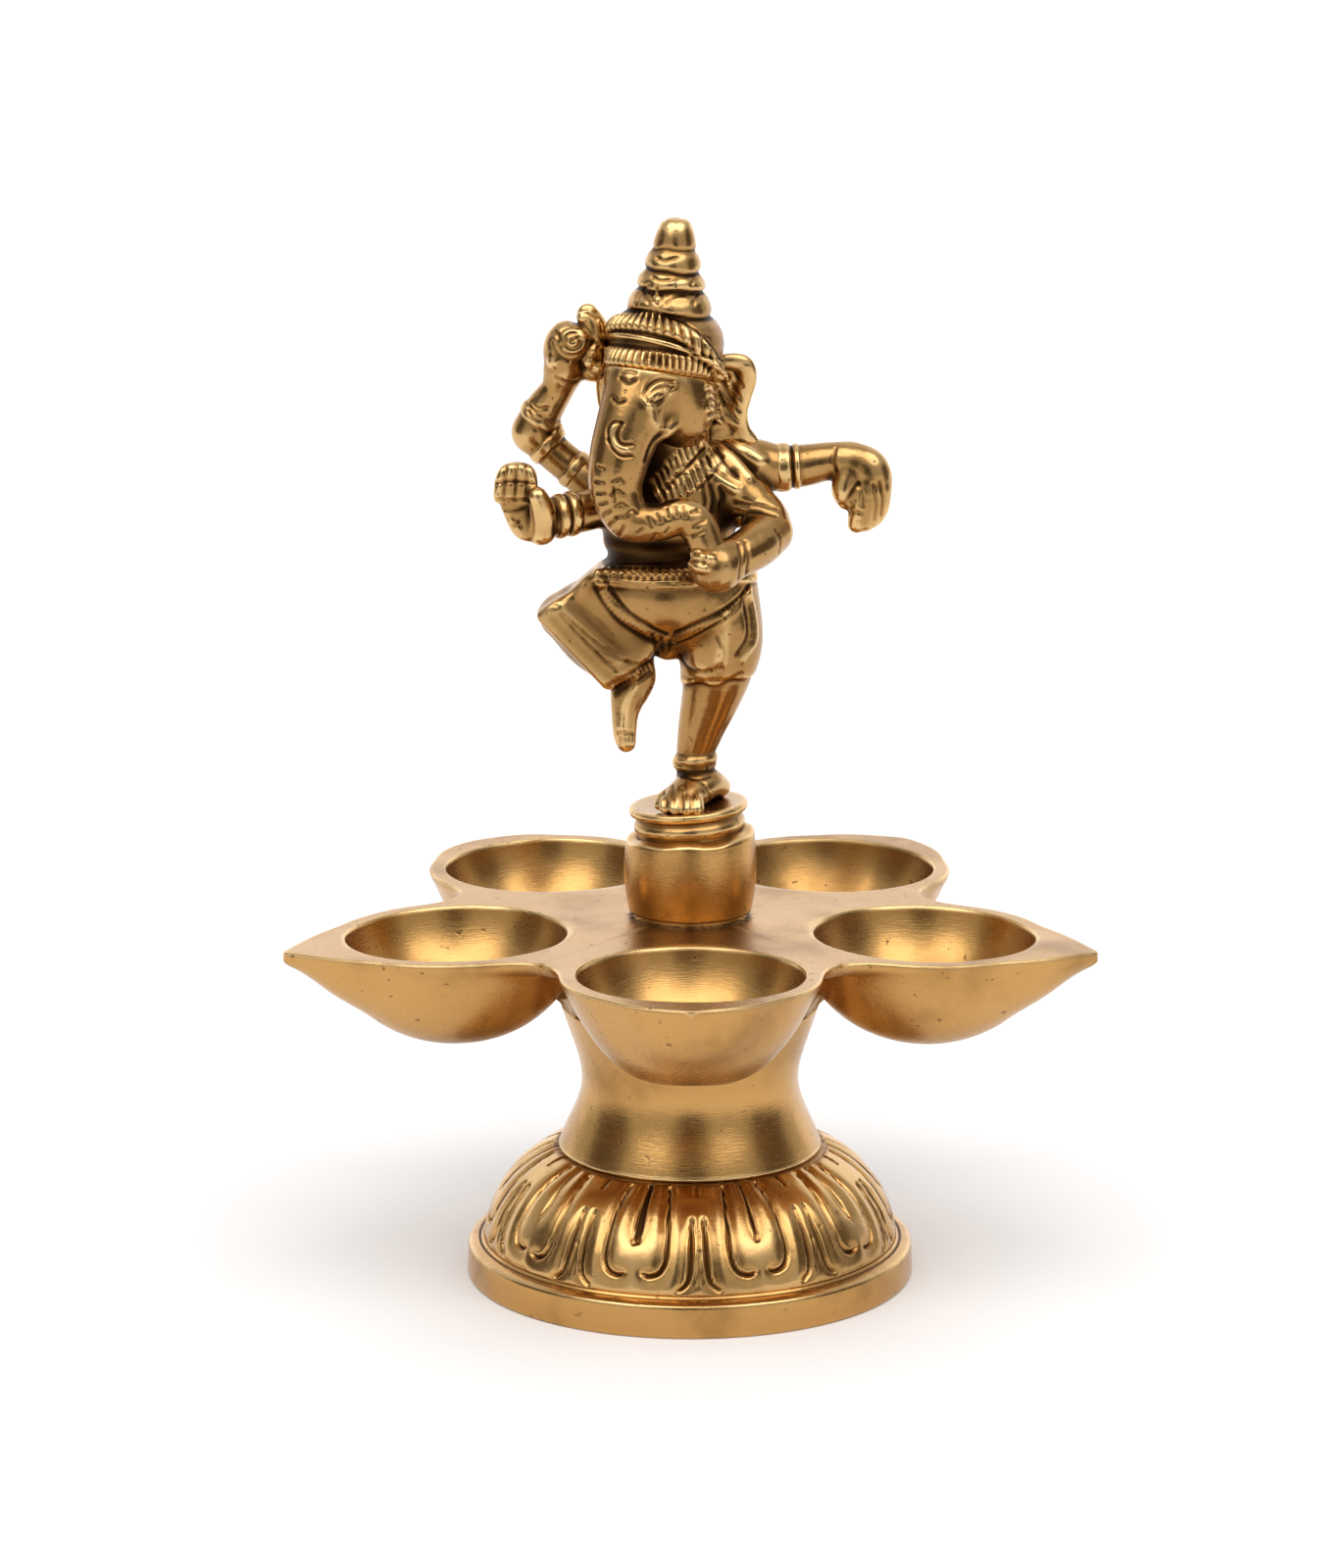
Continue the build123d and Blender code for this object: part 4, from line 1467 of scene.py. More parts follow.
@dataclass
class Sculpt(Clay):
    """A part of the figure that is modelled in a block of clay and cast.

    Places given as pairs are on the figure's sheet, a part of the photo enlarged. They are carried along
    their sight lines onto the clay, so each mark lies on the surface that is there.
    """

    step: float = 0.28
    name: str = ""
    node: str = ""
    line_stretch: float = 0.4

    def model(self) -> None:
        """Models the part."""
        raise NotImplementedError

    def build(self, finish: Material) -> None:
        """Models and casts the part in place of its CAD node.

        Args:
            finish: Its material.
        """
        self.model()
        inside = self.field < 0
        verts, number = self.corners(inside)
        quads, hollow = self.faces(inside, number), self.hollows(verts)
        lines = verts * self.line_stretch
        piece = make_piece(self.name, verts, quads, hollow, lines, Body.FIGURE, finish)
        if self.node:
            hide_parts(self.node)


@dataclass
class FigureBody(Sculpt):
    """Legs, dhoti, belly, chest and the stumps that the arms are brazed to."""

    name: str = "figure_body"
    node: str = "figure_casting"
    low: Point = (-36.0, -19.0, 103.2)
    high: Point = (21.0, 14.0, 187.0)
    step: float = 0.36
    sole: float = 105.4
    cuff: float = 132.4
    belt: float = 156.2
    roll: float = 161.2

    def model(self) -> None:
        """Models the body from the foot up."""
        self.standing_leg()
        self.trunk_of_body()
        self.raised_leg()
        self.stumps()
        self.soften()
        self.belt_and_sash()
        self.folds()
        self.cuffs_and_toes()
        self.garland()

    def standing_leg(self) -> None:
        """Models the foot with its toes, the shin, the anklet and the thigh with the cuff of the dhoti."""
        foot = [(5.4, 3.4, 107.2, 3.3), (2.4, -0.4, 108.6, 4.6), (-0.9, -4.8, 107.0, 4.5),
                (-2.2, -7.0, 106.0, 3.7)]
        self.press(Limb(foot, (0, 0, 1, 0.8)), 1.0)
        toes = ((-6.6, -6.6, 1.35), (-5.4, -8.9, 1.45), (-3.3, -10.4, 1.5), (-0.9, -10.9, 1.5),
                (1.5, -10.3, 1.6))
        for x, y, size in toes:
            toe = [(0.2 + 0.55 * x, 0.5 * y, self.sole + 2.6, size),
                   (0.9 * x, 0.85 * y, self.sole + 1.4, size - 0.1), (x, y, self.sole, size - 0.15)]
            self.press(Limb(toe, per_span=4), 0.35)
        shin = [(1.2, 0.6, 108.0, 4.1), (1.0, 0.4, 114.5, 4.0), (2.4, -0.1, 121.0, 5.0),
                (4.2, -0.6, 127.0, 6.1), (5.9, -1.4, 133.4, 7.2)]
        self.press(Limb(shin), 1.0)
        thigh = Clay(self.low, self.high, self.step)
        line = [(4.6, -2.0, 126.5, 6.8), (5.4, -2.0, 132.5, 7.6), (6.4, -1.8, 140.5, 9.0),
                (4.0, 0.0, 151.0, 10.4)]
        thigh.press(Limb(line))
        x, _, z = np.meshgrid(*self.axes, indexing="ij", sparse=True)
        thigh.field = np.maximum(thigh.field, self.cuff + 0.12 * (x - 5.0) + 0.5 * np.sin(0.9 * x) - z)
        self.field = -soft_max(-self.field, -thigh.field, 0.35)
        self.ring((1.0, 0.4, 113.5), (-0.05, 0.05, 1.0), 1.45, 0.8, 7.5)

    def trunk_of_body(self) -> None:
        """Models the hips, belly, chest, neck and the knot of cloth below the belly."""
        self.press(Oval((-3.4, 0.6, 146.5), (13.6, 10.6, 9.6)), 2.5)
        self.press(Oval((-5.6, -2.6, 150.8), (15.2, 13.4, 12.0)), 2.0)
        self.press(Oval((-4.6, -0.8, 167.6), (14.6, 10.8, 14.0)), 3.0)
        self.press(Limb([(-4.0, -0.4, 174.0, 10.0), (-5.4, -2.4, 187.0, 8.0)], per_span=4), 3.0)
        self.press(Limb([(-4.6, -4.2, 143.0, 4.2), (-4.8, -4.6, 139.4, 2.8)], per_span=4), 2.0)

    def raised_leg(self) -> None:
        """Models the raised thigh, the square-edged leg of the dhoti and the hanging foot."""
        thigh = [(-6.0, 0.6, 149.0, 9.0), (-14.6, -2.6, 149.4, 7.6), (-22.0, -5.6, 147.8, 6.4),
                 (-27.0, -7.6, 147.0, 4.8)]
        shin = [(-26.6, -7.6, 146.4, 4.8), (-20.4, -6.6, 140.4, 5.8), (-14.0, -6.6, 136.2, 5.2)]
        cloth = [(-19.8, 157.8), (-33.1, 147.9), (-17.4, 130.8), (-8.4, 137.4), (-4.6, 145.0), (-9.0, 156.0)]
        foot = [(-13.2, -6.8, 136.4, 4.4), (-12.8, -6.8, 131.6, 4.2), (-13.8, -7.8, 126.2, 3.0),
                (-13.9, -8.8, 121.6, 2.5), (-13.6, -9.4, 119.7, 2.1)]
        heel = [(-10.6, -6.2, 136.0, 3.0), (-9.9, -6.2, 132.8, 2.6), (-10.7, -6.6, 129.8, 1.8)]
        self.press(Limb(thigh), 1.6)
        self.press(Limb(shin), 1.2)
        self.press(Slab(cloth, -12.8, -5.6, 2.0, 0.11), 1.0)
        self.press(Limb(foot), 0.5)
        self.press(Limb(heel, per_span=6), 1.2)

    def stumps(self) -> None:
        """Models the shoulders up to where the arms are brazed on."""
        for stump, soft in (
            ([(4.0, 2.0, 175.0, 7.0), (12.0, 3.4, 177.0, 5.9), (18.5, 4.0, 176.3, 4.9)], 1.5),
            ([(-10.0, 2.2, 172.0, 6.4), (-18.4, 3.8, 172.0, 5.0), (-23.2, 4.5, 174.8, 4.2)], 1.5),
            ([(-8.0, -1.6, 170.4, 6.4), (-15.4, -3.4, 169.8, 5.1), (-20.0, -5.0, 169.3, 4.4)], 1.5),
            ([(3.0, -0.2, 173.8, 6.8), (10.0, -1.0, 171.4, 6.2), (13.8, -2.6, 168.8, 5.0)], 1.2),
        ):
            self.press(Limb(stump), soft)

    def belt_and_sash(self) -> None:
        """Models the belt over the belly, the roll above it and the sash round the hips."""
        spans, (x, y, z) = self.window((-26, -19, 150), (14, 14, 165))
        band = np.exp(-((z + 0.07 * (y + 14) - self.belt) / 2.15) ** 6)
        self.lift(spans, 0.95 * band / (1 + np.exp(-(x + 20.4) / 0.3)))
        spans, (x, y, z) = self.window((-26, -19, 157), (14, 14, 166))
        self.lift(spans, 0.7 * np.exp(-((z - self.roll) / 1.5) ** 2) + 0 * x)
        for height, deep in ((880, 0.5), (893, 0.35), (922, 0.35), (936, 0.5)):
            edge = [(306, height - 2), (360, height + 5), (430, height + 8), (540, height + 5)]
            self.mark(edge, 0.32, deep)
        for lean in (-1, 1):
            for x in range(322, 538, 18):
                drop = 0.06 * min(x - 310, 110)
                self.mark([(x - 10 * lean, 896 + drop), (x + 10 * lean, 922 + drop)], 0.3, 0.34)
        left = [(310, 930), (332, 973), (373, 1023), (430, 1060), (462, 1074)]
        right = [(668, 962), (630, 1000), (580, 1035), (525, 1062), (492, 1074)]
        for line, (dx, dy) in ((left, (-13, 11)), (right, (-7, 17))):
            self.mark(line, 1.6, -0.5)
            self.mark(moved(line, dx, dy), 0.38, 0.55)
            self.mark(moved(line, -dx, -dy), 0.42, 0.7)
        self.ticks(moved(left, -11, 8), moved(left, 9, -6), 19, 0.26, 0.26)
        self.ticks(moved(right, -10, 10), moved(right, 4, -12), 17, 0.3, 0.42)

    def folds(self) -> None:
        """Cuts the folds of the dhoti, lays its swelling edges and paints shade into the corners of the body.
        """
        folds = (
            [(206, 992), (246, 1030), (306, 1082), (356, 1118), (402, 1136)],
            [(238, 962), (262, 992), (306, 1026), (346, 1066)],
            [(214, 1010), (262, 1062), (318, 1118), (352, 1150)], [(440, 1062), (446, 1090), (455, 1116)],
            [(462, 1070), (466, 1095), (468, 1118)], [(484, 1078), (482, 1100), (476, 1116)],
            [(508, 1112), (524, 1140), (556, 1152), (586, 1150)], [(598, 1068), (614, 1104), (604, 1146)],
            [(515, 1166), (560, 1176), (612, 1176), (656, 1160)],
        )
        self.marks(folds, 0.36, 0.36)
        for swelling, half, deep in (
            ([(196, 1002), (300, 1106), (352, 1152), (376, 1164)], 1.5, -0.35),
            ([(220, 1000), (290, 1062), (361, 1125)], 1.3, -0.5),
            ([(232, 950), (280, 1020), (330, 1080)], 2.6, 0.6),
            ([(619, 1012), (614, 1070), (606, 1124)], 1.9, -0.55),
            ([(676, 950), (693, 1067), (660, 1124)], 0.7, -0.45),
            ([(660, 966), (672, 1060), (646, 1112)], 0.55, 0.5),
            ([(540, 1090), (548, 1130), (560, 1144)], 2.0, -0.4),
        ):
            self.mark(swelling, half, deep)
        # Painted shade in the corners of the body where shadow falls, as beside and under the trunk, above
        # the belt and round the knot of cloth
        for corner, reach, amount in (
            ([(456, 610), (446, 660), (432, 717), (440, 748)], 3.0, 0.6),
            ([(323, 848), (372, 854), (463, 860), (517, 872)], 2.4, 0.5),
            ([(600, 760), (612, 790)], 2.5, 0.5), ([(284, 786), (296, 832)], 2.0, 0.4),
            ([(440, 1070), (471, 1084), (500, 1070)], 2.6, 0.3), ([(306, 905), (300, 940)], 2.0, 0.3),
        ):
            self.paint_shade(corner, reach, amount)

    def cuffs_and_toes(self) -> None:
        """Cuts the cuff of the raised leg, its shin and toes, and the toes of the standing foot."""
        cuff_top = [(348, 1176), (388, 1150), (424, 1126)]
        cuff_foot = [(356, 1196), (396, 1170), (434, 1144)]
        self.ticks(cuff_top, cuff_foot, 9, 0.3, 0.4)
        upper_edge = [(336, 1188), (384, 1162), (436, 1124)]
        lower_edge = [(350, 1206), (396, 1182), (438, 1152)]
        shin = [(404, 1150), (394, 1196), (376, 1232), (368, 1290)]
        hanging_toes = ([(362, 1312), (364, 1334)], [(372, 1314), (374, 1340)], [(384, 1312), (385, 1338)],
                        [(356, 1300), (392, 1302)])
        anklet_and_toes = (
            [(500, 1400), (545, 1414), (584, 1408)], [(496, 1376), (540, 1388), (590, 1380)],
            [(466, 1438), (471, 1462), (469, 1484)], [(489, 1430), (492, 1460), (491, 1488)],
            [(512, 1434), (514, 1462), (513, 1488)], [(560, 1420), (574, 1440), (580, 1464)],
        )
        self.mark(upper_edge, 0.45, 0.55)
        self.mark(lower_edge, 0.45, 0.45)
        self.mark(shin, 0.9, -0.45)
        self.marks(hanging_toes, 0.28, 0.3)
        self.marks(anklet_and_toes, 0.36, 0.5)

    def garland(self) -> None:
        """Lays the garland of petals over the chest and the locks of hair over the shoulder."""
        rows = ([(448, 704), (480, 668), (516, 632), (552, 590)],
                [(464, 738), (508, 712), (552, 678), (592, 628)])
        for k, row in enumerate(rows):
            path = resample(curve_through(np.array(row, float), 8), 19.0 - k)
            for i, (x, y) in enumerate(path):
                long = 18 + 3 * math.sin(2.7 * i + k)
                dx, dy = 0.3 * long, 0.8 * long
                self.mark([(x - dx, y - dy), (x + dx / 2, y), (x + dx, y + dy)], 0.75, -0.7)
                self.mark([(x + 6.5 - dx, y - 7 - dy), (x + 6.5 + dx, y - 7 + dy)], 0.42, 0.8)
        self.marks([moved(row, 18, 16) for row in rows], 0.4, 0.7)
        locks = ([(556, 584), (584, 624), (616, 662)], [(586, 590), (628, 634), (674, 680)],
                 [(612, 588), (660, 612), (702, 642)], [(586, 664), (612, 690), (642, 706)])
        gaps = ([(572, 588), (606, 632), (646, 678)], [(602, 590), (648, 624), (690, 664)],
                [(574, 640), (604, 672), (652, 702)])
        sleeve = ([(582, 700), (590, 730), (586, 764)], [(604, 706), (612, 730), (606, 752)],
                  [(640, 744), (690, 750), (744, 742)], [(566, 706), (570, 740), (560, 764)],
                  [(640, 776), (690, 772), (742, 780)])
        self.marks(locks, 1.35, -1.2)
        self.marks(gaps, 0.42, 0.9)
        self.marks(sleeve, 0.4, 0.5)


@dataclass
class FigureHead(Sculpt):
    """Elephant head with its trunk and ears, up to the edge of the cap."""

    name: str = "figure_head"
    low: Point = (-23.5, -25.0, 155.5)
    high: Point = (15.5, 12.0, 206.0)
    step: float = 0.25
    cap_edge: Point = (-5.6, -3.2, 197.4)
    cap_way: Point = (0.143, 0.19, 1.0)

    def model(self) -> None:
        """Models the head."""
        self.skull()
        self.trunk()
        self.trim(self.cap_edge, self.cap_way, -1)
        self.ears()
        self.soften()
        self.marks_of_ear()
        self.face()
        self.creases()

    def skull(self) -> None:
        """Models the skull, the cheeks, the forehead and the neck."""
        self.press(Oval((-6.0, -3.6, 196.6), (11.0, 12.0, 11.4), -20.0))
        self.press(Oval((-2.4, -6.8, 190.6), (7.2, 7.4, 8.0), -20.0), 3.0)
        self.press(Oval((-10.6, -9.0, 199.4), (6.8, 6.8, 6.6)), 3.0)
        self.press(Limb([(-4.4, -1.6, 190.0, 8.4), (-4.2, -0.6, 179.5, 8.2)], per_span=4), 2.5)

    def trunk(self) -> None:
        """Models the trunk, which swings down and round to the sweet, and the stub of the tusk."""
        trunk = [(-9.8, -9.6, 199.0, 7.4), (-12.0, -13.6, 190.8, 7.2), (-14.8, -16.8, 182.2, 6.3),
                 (-15.5, -17.8, 175.2, 5.4), (-12.6, -18.4, 169.4, 4.6), (-6.8, -18.6, 168.8, 3.9),
                 (-1.6, -18.4, 170.0, 4.0), (1.6, -18.4, 167.6, 3.9), (3.1, -18.8, 164.4, 3.8),
                 (4.0, -19.0, 162.4, 3.6)]
        tusk = [(-2.6, -10.6, 190.4, 2.8), (-5.0, -14.4, 188.0, 2.0), (-7.4, -16.4, 186.4, 1.2)]
        self.press(Limb(trunk, per_span=10), 2.2)
        self.press(Limb(tusk, per_span=6), 1.0)

    def ears(self) -> None:
        """Models the near ear with its rolled rim, and the far one behind the head."""
        upper = [(2.0, 200.0), (9.3, 200.6), (12.2, 199.6), (13.2, 196.9), (12.2, 192.4), (11.2, 186.6),
                 (3.0, 185.0), (0.0, 192.0)]
        lobe = [(2.0, 190.0), (11.4, 189.4), (12.0, 185.4), (14.0, 181.9), (6.0, 181.2), (2.0, 184.0)]
        self.press(Slab(upper, 0.8, 3.6, 0.9), 0.8)
        self.press(Slab(lobe, 0.9, 3.6, 0.9), 1.5)
        spans, (x, y, z) = self.window((2.0, -1.5, 185), (13, 3.0, 200))
        self.lift(spans, -0.4 * np.exp(-((x - 7.4) / 2.4) ** 2 - ((z - 194.2) / 4.4) ** 2) + 0 * y)
        rim = [(4.6, -0.4, 199.6, 1.2), (8.4, 0.0, 199.8, 1.7), (11.2, 0.6, 198.8, 2.1),
               (11.9, 1.0, 196.0, 2.1), (11.1, 1.2, 192.4, 1.9), (10.3, 1.4, 188.6, 1.8),
               (10.9, 1.8, 185.0, 1.8), (12.8, 2.4, 182.4, 1.6)]
        far_ear = [(-11.0, 2.0, 198.0, 4.0), (-16.4, 3.4, 197.4, 3.2), (-17.0, 4.0, 191.0, 2.8),
                   (-16.0, 4.2, 186.4, 2.0)]
        self.press(Limb(rim, (0.1, 1, 0, 0.65)), 0.8)
        self.press(Limb(far_ear, (0.2, 1, 0, 0.5)), 1.2)

    def marks_of_ear(self) -> None:
        """Cuts the ribs of the near ear and raises the curls along its root."""
        ribs = ([(612, 446), (624, 480), (652, 520)], [(626, 438), (640, 468), (656, 492)],
                [(640, 430), (650, 448), (660, 462)], [(604, 474), (622, 514), (648, 548)],
                [(594, 508), (610, 540), (636, 572)])
        self.marks(ribs, 0.34, 0.28)
        for i, y in enumerate(range(428, 552, 18)):
            x = 572 + 0.07 * (y - 428) + 3 * math.sin(2.1 * i)
            self.mark([(x, y), (x + 14, y - 3), (x + 22, y + 9)], 0.75, -0.9)
            self.mark([(x + 2, y + 9), (x + 22, y + 18)], 0.36, 0.5)
        top_curl = [(606, 432), (622, 424), (636, 436), (626, 452)]
        self.mark(top_curl, 0.7, -0.6)

    def face(self) -> None:
        """Cuts the eyes and the marks on the forehead and the trunk."""
        eyeball = [(432, 492), (452, 480), (478, 470)]
        lids = ([(420, 482), (436, 456), (462, 444), (492, 447)],
                [(426, 490), (448, 470), (474, 461), (494, 462)],
                [(432, 498), (452, 500), (472, 488), (488, 466)], [(440, 494), (454, 482), (470, 478)])
        far_eye_and_marks = (
            [(344, 490), (356, 500), (371, 497)], [(362, 440), (382, 453), (400, 446)],
            [(366, 430), (382, 424), (398, 428)], [(336, 592), (333, 566), (346, 546), (364, 548)],
            [(336, 592), (346, 614), (366, 630), (392, 630)],
            [(366, 550), (354, 578), (366, 600), (392, 602)],
        )
        crescent = [(346, 560), (342, 585), (352, 606), (378, 616)]
        self.mark(eyeball, 1.6, -0.9)
        self.marks(lids, 0.4, 0.95)
        self.marks(far_eye_and_marks, 0.4, 0.6)
        self.mark(crescent, 0.7, -0.5)

    def creases(self) -> None:
        """Cuts the creases of the trunk, the cheek and the mouth, and paints shade under the chin."""
        creases = (
            [(308, 655), (322, 660)], [(303, 690), (322, 694)], [(304, 720), (326, 720)],
            [(308, 748), (330, 742)], [(318, 776), (340, 762)], [(336, 802), (352, 782)],
            [(362, 824), (372, 802)], [(346, 690), (362, 684), (372, 694)],
            [(340, 722), (356, 712), (372, 722)], [(350, 752), (366, 744), (380, 752)],
            [(346, 706), (350, 740)], [(378, 770), (392, 760), (404, 770)], [(354, 780), (372, 776)],
            [(430, 782), (438, 800)], [(452, 770), (460, 790)], [(474, 758), (480, 780)],
            [(494, 752), (500, 776)], [(516, 754), (520, 778)], [(536, 768), (552, 762)],
            [(540, 800), (566, 786)], [(536, 826), (566, 812)], [(404, 818), (416, 806)],
            [(440, 836), (448, 822)], [(472, 818), (480, 806)],
        )
        cheek = [(436, 510), (442, 540), (454, 558), (474, 568)]
        mouth = [(476, 574), (452, 584), (436, 606), (424, 640)]
        chin_shadow = [(500, 600), (452, 606), (434, 640), (420, 690)]
        self.marks(creases, 0.34, 0.45)
        self.mark(cheek, 1.3, -0.35)
        self.mark(mouth, 0.5, 0.5)
        # Painted shade under the chin, where the head shadows the chest
        self.paint_shade(chin_shadow, 2.6, 0.4)


@dataclass
class FigureCrown(FigureHead):
    """Cap with its two fluted bands, the stacked rings and the knob."""

    name: str = "figure_crown"
    low: Point = (-20.0, -18.0, 192.0)
    high: Point = (9.5, 12.0, 231.5)
    step: float = 0.28
    base: Point = (-5.4, -3.0, 200.0)
    axis: Point = (0.083, 0.0, 1.0)

    def model(self) -> None:
        """Models the crown over the skull."""
        self.skull()
        cap = [(11.4, -1.0), (12.0, 2.0), (12.1, 5.0), (11.6, 7.4), (10.2, 9.4), (8.8, 10.4), (8.0, 10.8),
               (7.6, 12.0)]
        rings = [(7.7, 10.4), (8.5, 10.8), (8.85, 11.5), (8.75, 12.6), (8.3, 13.7), (7.5, 14.8), (6.7, 15.3),
                 (6.3, 15.6), (6.8, 15.85), (7.2, 16.4), (7.15, 17.3), (6.7, 18.3), (6.0, 19.1), (5.2, 19.5),
                 (5.6, 19.8), (5.95, 20.4), (5.9, 21.3), (5.5, 22.4), (4.9, 23.4), (4.1, 24.0), (4.45, 24.4),
                 (4.45, 25.2), (4.2, 26.4), (3.85, 27.6), (3.45, 28.7), (2.9, 29.6), (1.9, 30.3), (0.0, 30.6)]
        self.press(Turned(self.base, self.axis, cap), 0.5)
        self.press(Turned(self.base, self.axis, rings, 0.14), 0.2)
        self.soften()
        self.ring((-5.6, -3.2, 199.7), self.cap_way, 1.9, 0.85, 15.0, 56)
        self.ring((-5.6, -3.0, 202.3), (0.264, 0.29, 1.0), 0.6, 0.5, 15.0, 0, 0.012)
        self.ring((-5.6, -3.0, 204.2), (0.35, 0.5, 1.0), 2.1, 1.1, 15.0, 38, 0.026)
        self.trim(self.cap_edge, self.cap_way, 1)
        scrolls = ([(452, 222), (440, 246), (452, 262)], [(452, 222), (464, 246), (452, 262)],
                   [(432, 258), (420, 232), (432, 214)], [(474, 262), (492, 244), (520, 240)],
                   [(540, 262), (550, 240)], [(452, 150), (470, 158), (500, 150)],
                   [(440, 196), (462, 206), (500, 200)], [(536, 214), (542, 200)], [(404, 262), (412, 238)])
        front_leaf = [(452, 230), (452, 256)]
        self.marks(scrolls, 0.32, 0.4)
        self.mark(front_leaf, 0.8, -0.5)


@dataclass
class RearLeftArm(Sculpt):
    """Arm that reaches out sideways, with the drooping hand."""

    name: str = "rear_left_arm_casting"
    node: str = "rear_left_arm"
    low: Point = (15.5, -5.0, 160.0)
    high: Point = (46.0, 12.0, 185.0)

    def model(self) -> None:
        """Models the arm, its armlet and the hand."""
        arm = [(17.5, 4.0, 176.3, 4.7), (24.0, 4.0, 176.9, 4.5), (29.6, 3.4, 178.0, 4.0),
               (33.6, 2.8, 178.0, 4.2)]
        palm = [(33.4, 2.4, 177.2, 4.6), (36.8, 2.0, 175.6, 5.6), (37.6, 1.2, 171.4, 4.7),
                (37.6, 0.4, 167.4, 3.2)]
        thumb = [(33.2, 0.8, 174.6, 3.2), (32.5, -0.2, 172.2, 2.7), (32.9, -0.4, 170.2, 2.0)]
        fingers = ([(36.2, -0.6, 172.0, 2.6), (35.8, -0.9, 168.4, 2.4), (35.2, -0.6, 165.2, 2.0)],
                   [(38.4, -0.4, 171.6, 2.4), (38.2, -0.6, 168.0, 2.2), (37.2, -0.4, 165.4, 1.8)],
                   [(40.2, 0.4, 172.0, 2.0), (40.2, 0.2, 168.6, 1.8), (39.2, 0.0, 166.6, 1.6)])
        self.press(Limb(arm))
        self.press(Limb(palm, (0.2, 1, 0.1, 0.78)), 1.2)
        self.press(Limb(thumb, per_span=6), 0.8)
        for finger in fingers:
            self.press(Limb(finger, per_span=6), 1.0)
        self.soften()
        for x, z, half, rise in ((19.6, 176.3, 1.5, 0.6), (22.4, 176.5, 0.6, 0.35)):
            self.ring((x, 4.0, z), (1.0, 0.05, 0.05), half, rise, 8.0)
        armlet_near, armlet_far = [(718, 622), (713, 666), (726, 716)], [(742, 618), (738, 666), (752, 714)]
        self.ticks(armlet_near, armlet_far, 13, 0.3, 0.45)
        wrist_and_fingers = (
            [(884, 612), (880, 640), (886, 668)], [(976, 700), (984, 740), (980, 784)],
            [(992, 690), (1000, 730), (996, 772)], [(906, 748), (924, 716), (940, 696)],
            [(940, 696), (950, 722), (950, 752)], [(914, 772), (934, 766), (950, 772)],
            [(886, 742), (906, 752), (916, 766)],
        )
        self.marks(wrist_and_fingers, 0.35, 0.4)


@dataclass
class RearRightArm(Sculpt):
    """Raised arm with the hand and the scrolled bud that it holds."""

    name: str = "rear_right_arm_casting"
    node: str = "rear_right_arm"
    low: Point = (-40.0, -6.0, 169.0)
    high: Point = (-14.5, 13.0, 214.5)
    scroll: Pair = (248, 352)

    def model(self) -> None:
        """Models the arm, its bands, the hand and the bud."""
        upper = [(-22.6, 4.4, 174.4, 4.1), (-28.4, 5.2, 179.0, 3.9), (-33.0, 5.7, 183.6, 4.6)]
        fore = [(-33.2, 5.7, 184.0, 4.7), (-31.0, 4.6, 188.8, 4.1), (-28.2, 3.4, 193.2, 3.5),
                (-26.8, 2.6, 197.0, 4.1)]
        hand = [(-26.4, 2.4, 198.4, 4.4), (-26.6, 1.8, 202.4, 4.4), (-26.2, 1.4, 204.6, 3.6)]
        bud = [(-20.6, 2.2, 198.0, 3.0), (-20.2, 2.0, 202.0, 3.4), (-20.4, 1.6, 206.4, 3.1),
               (-21.6, 1.0, 209.6, 2.3)]
        self.press(Limb(upper))
        self.press(Limb(fore), 0.8)
        self.press(Limb(hand, per_span=6), 1.0)
        self.press(Limb(bud, per_span=6), 0.8)
        self.press(Oval((-24.7, -1.0, 203.8), (3.9, 2.6, 3.8)), 0.8)
        beads = (((-21.2, -0.6, 199.8), 1.6), ((-19.4, -0.4, 198.6), 1.5), ((-20.6, -0.8, 202.2), 1.4),
                 ((-22.6, -0.4, 209.2), 1.4), ((-28.6, -0.8, 199.8), 1.6))
        for spot, size in beads:
            self.press(Oval(spot, (size, size, size)), 0.6)
        self.soften()
        bands = (((-30.4, 5.4, 180.6), (-0.72, 0.1, 0.68)), ((-24.6, 4.7, 176.0), (-0.78, 0.1, 0.62)),
                 ((-31.8, 4.9, 187.6), (0.5, -0.2, 0.84)))
        for spot, way in bands:
            self.ring(spot, way, 1.1, 0.4, 6.5)
        x, y = self.scroll
        for reach in (37, 20):
            loop = [(x + reach * math.cos(0.5 * t), y + 0.95 * reach * math.sin(0.5 * t)) for t in range(11)]
            self.mark(loop, 0.36, 0.55)
        self.mark([(x - 2, y - 2), (x + 8, y - 8), (x + 16, y)], 0.4, 0.45)
        hand_and_bands = (
            [(258, 292), (280, 284), (306, 298)], [(262, 278), (284, 272), (304, 282)],
            [(196, 352), (212, 384), (236, 402)], [(208, 440), (232, 452), (258, 448)],
            [(272, 390), (286, 372), (300, 350)], [(150, 500), (162, 512), (186, 514)],
            [(138, 520), (156, 540), (186, 548)], [(206, 330), (218, 346), (220, 366)],
        )
        self.marks(hand_and_bands, 0.36, 0.45)


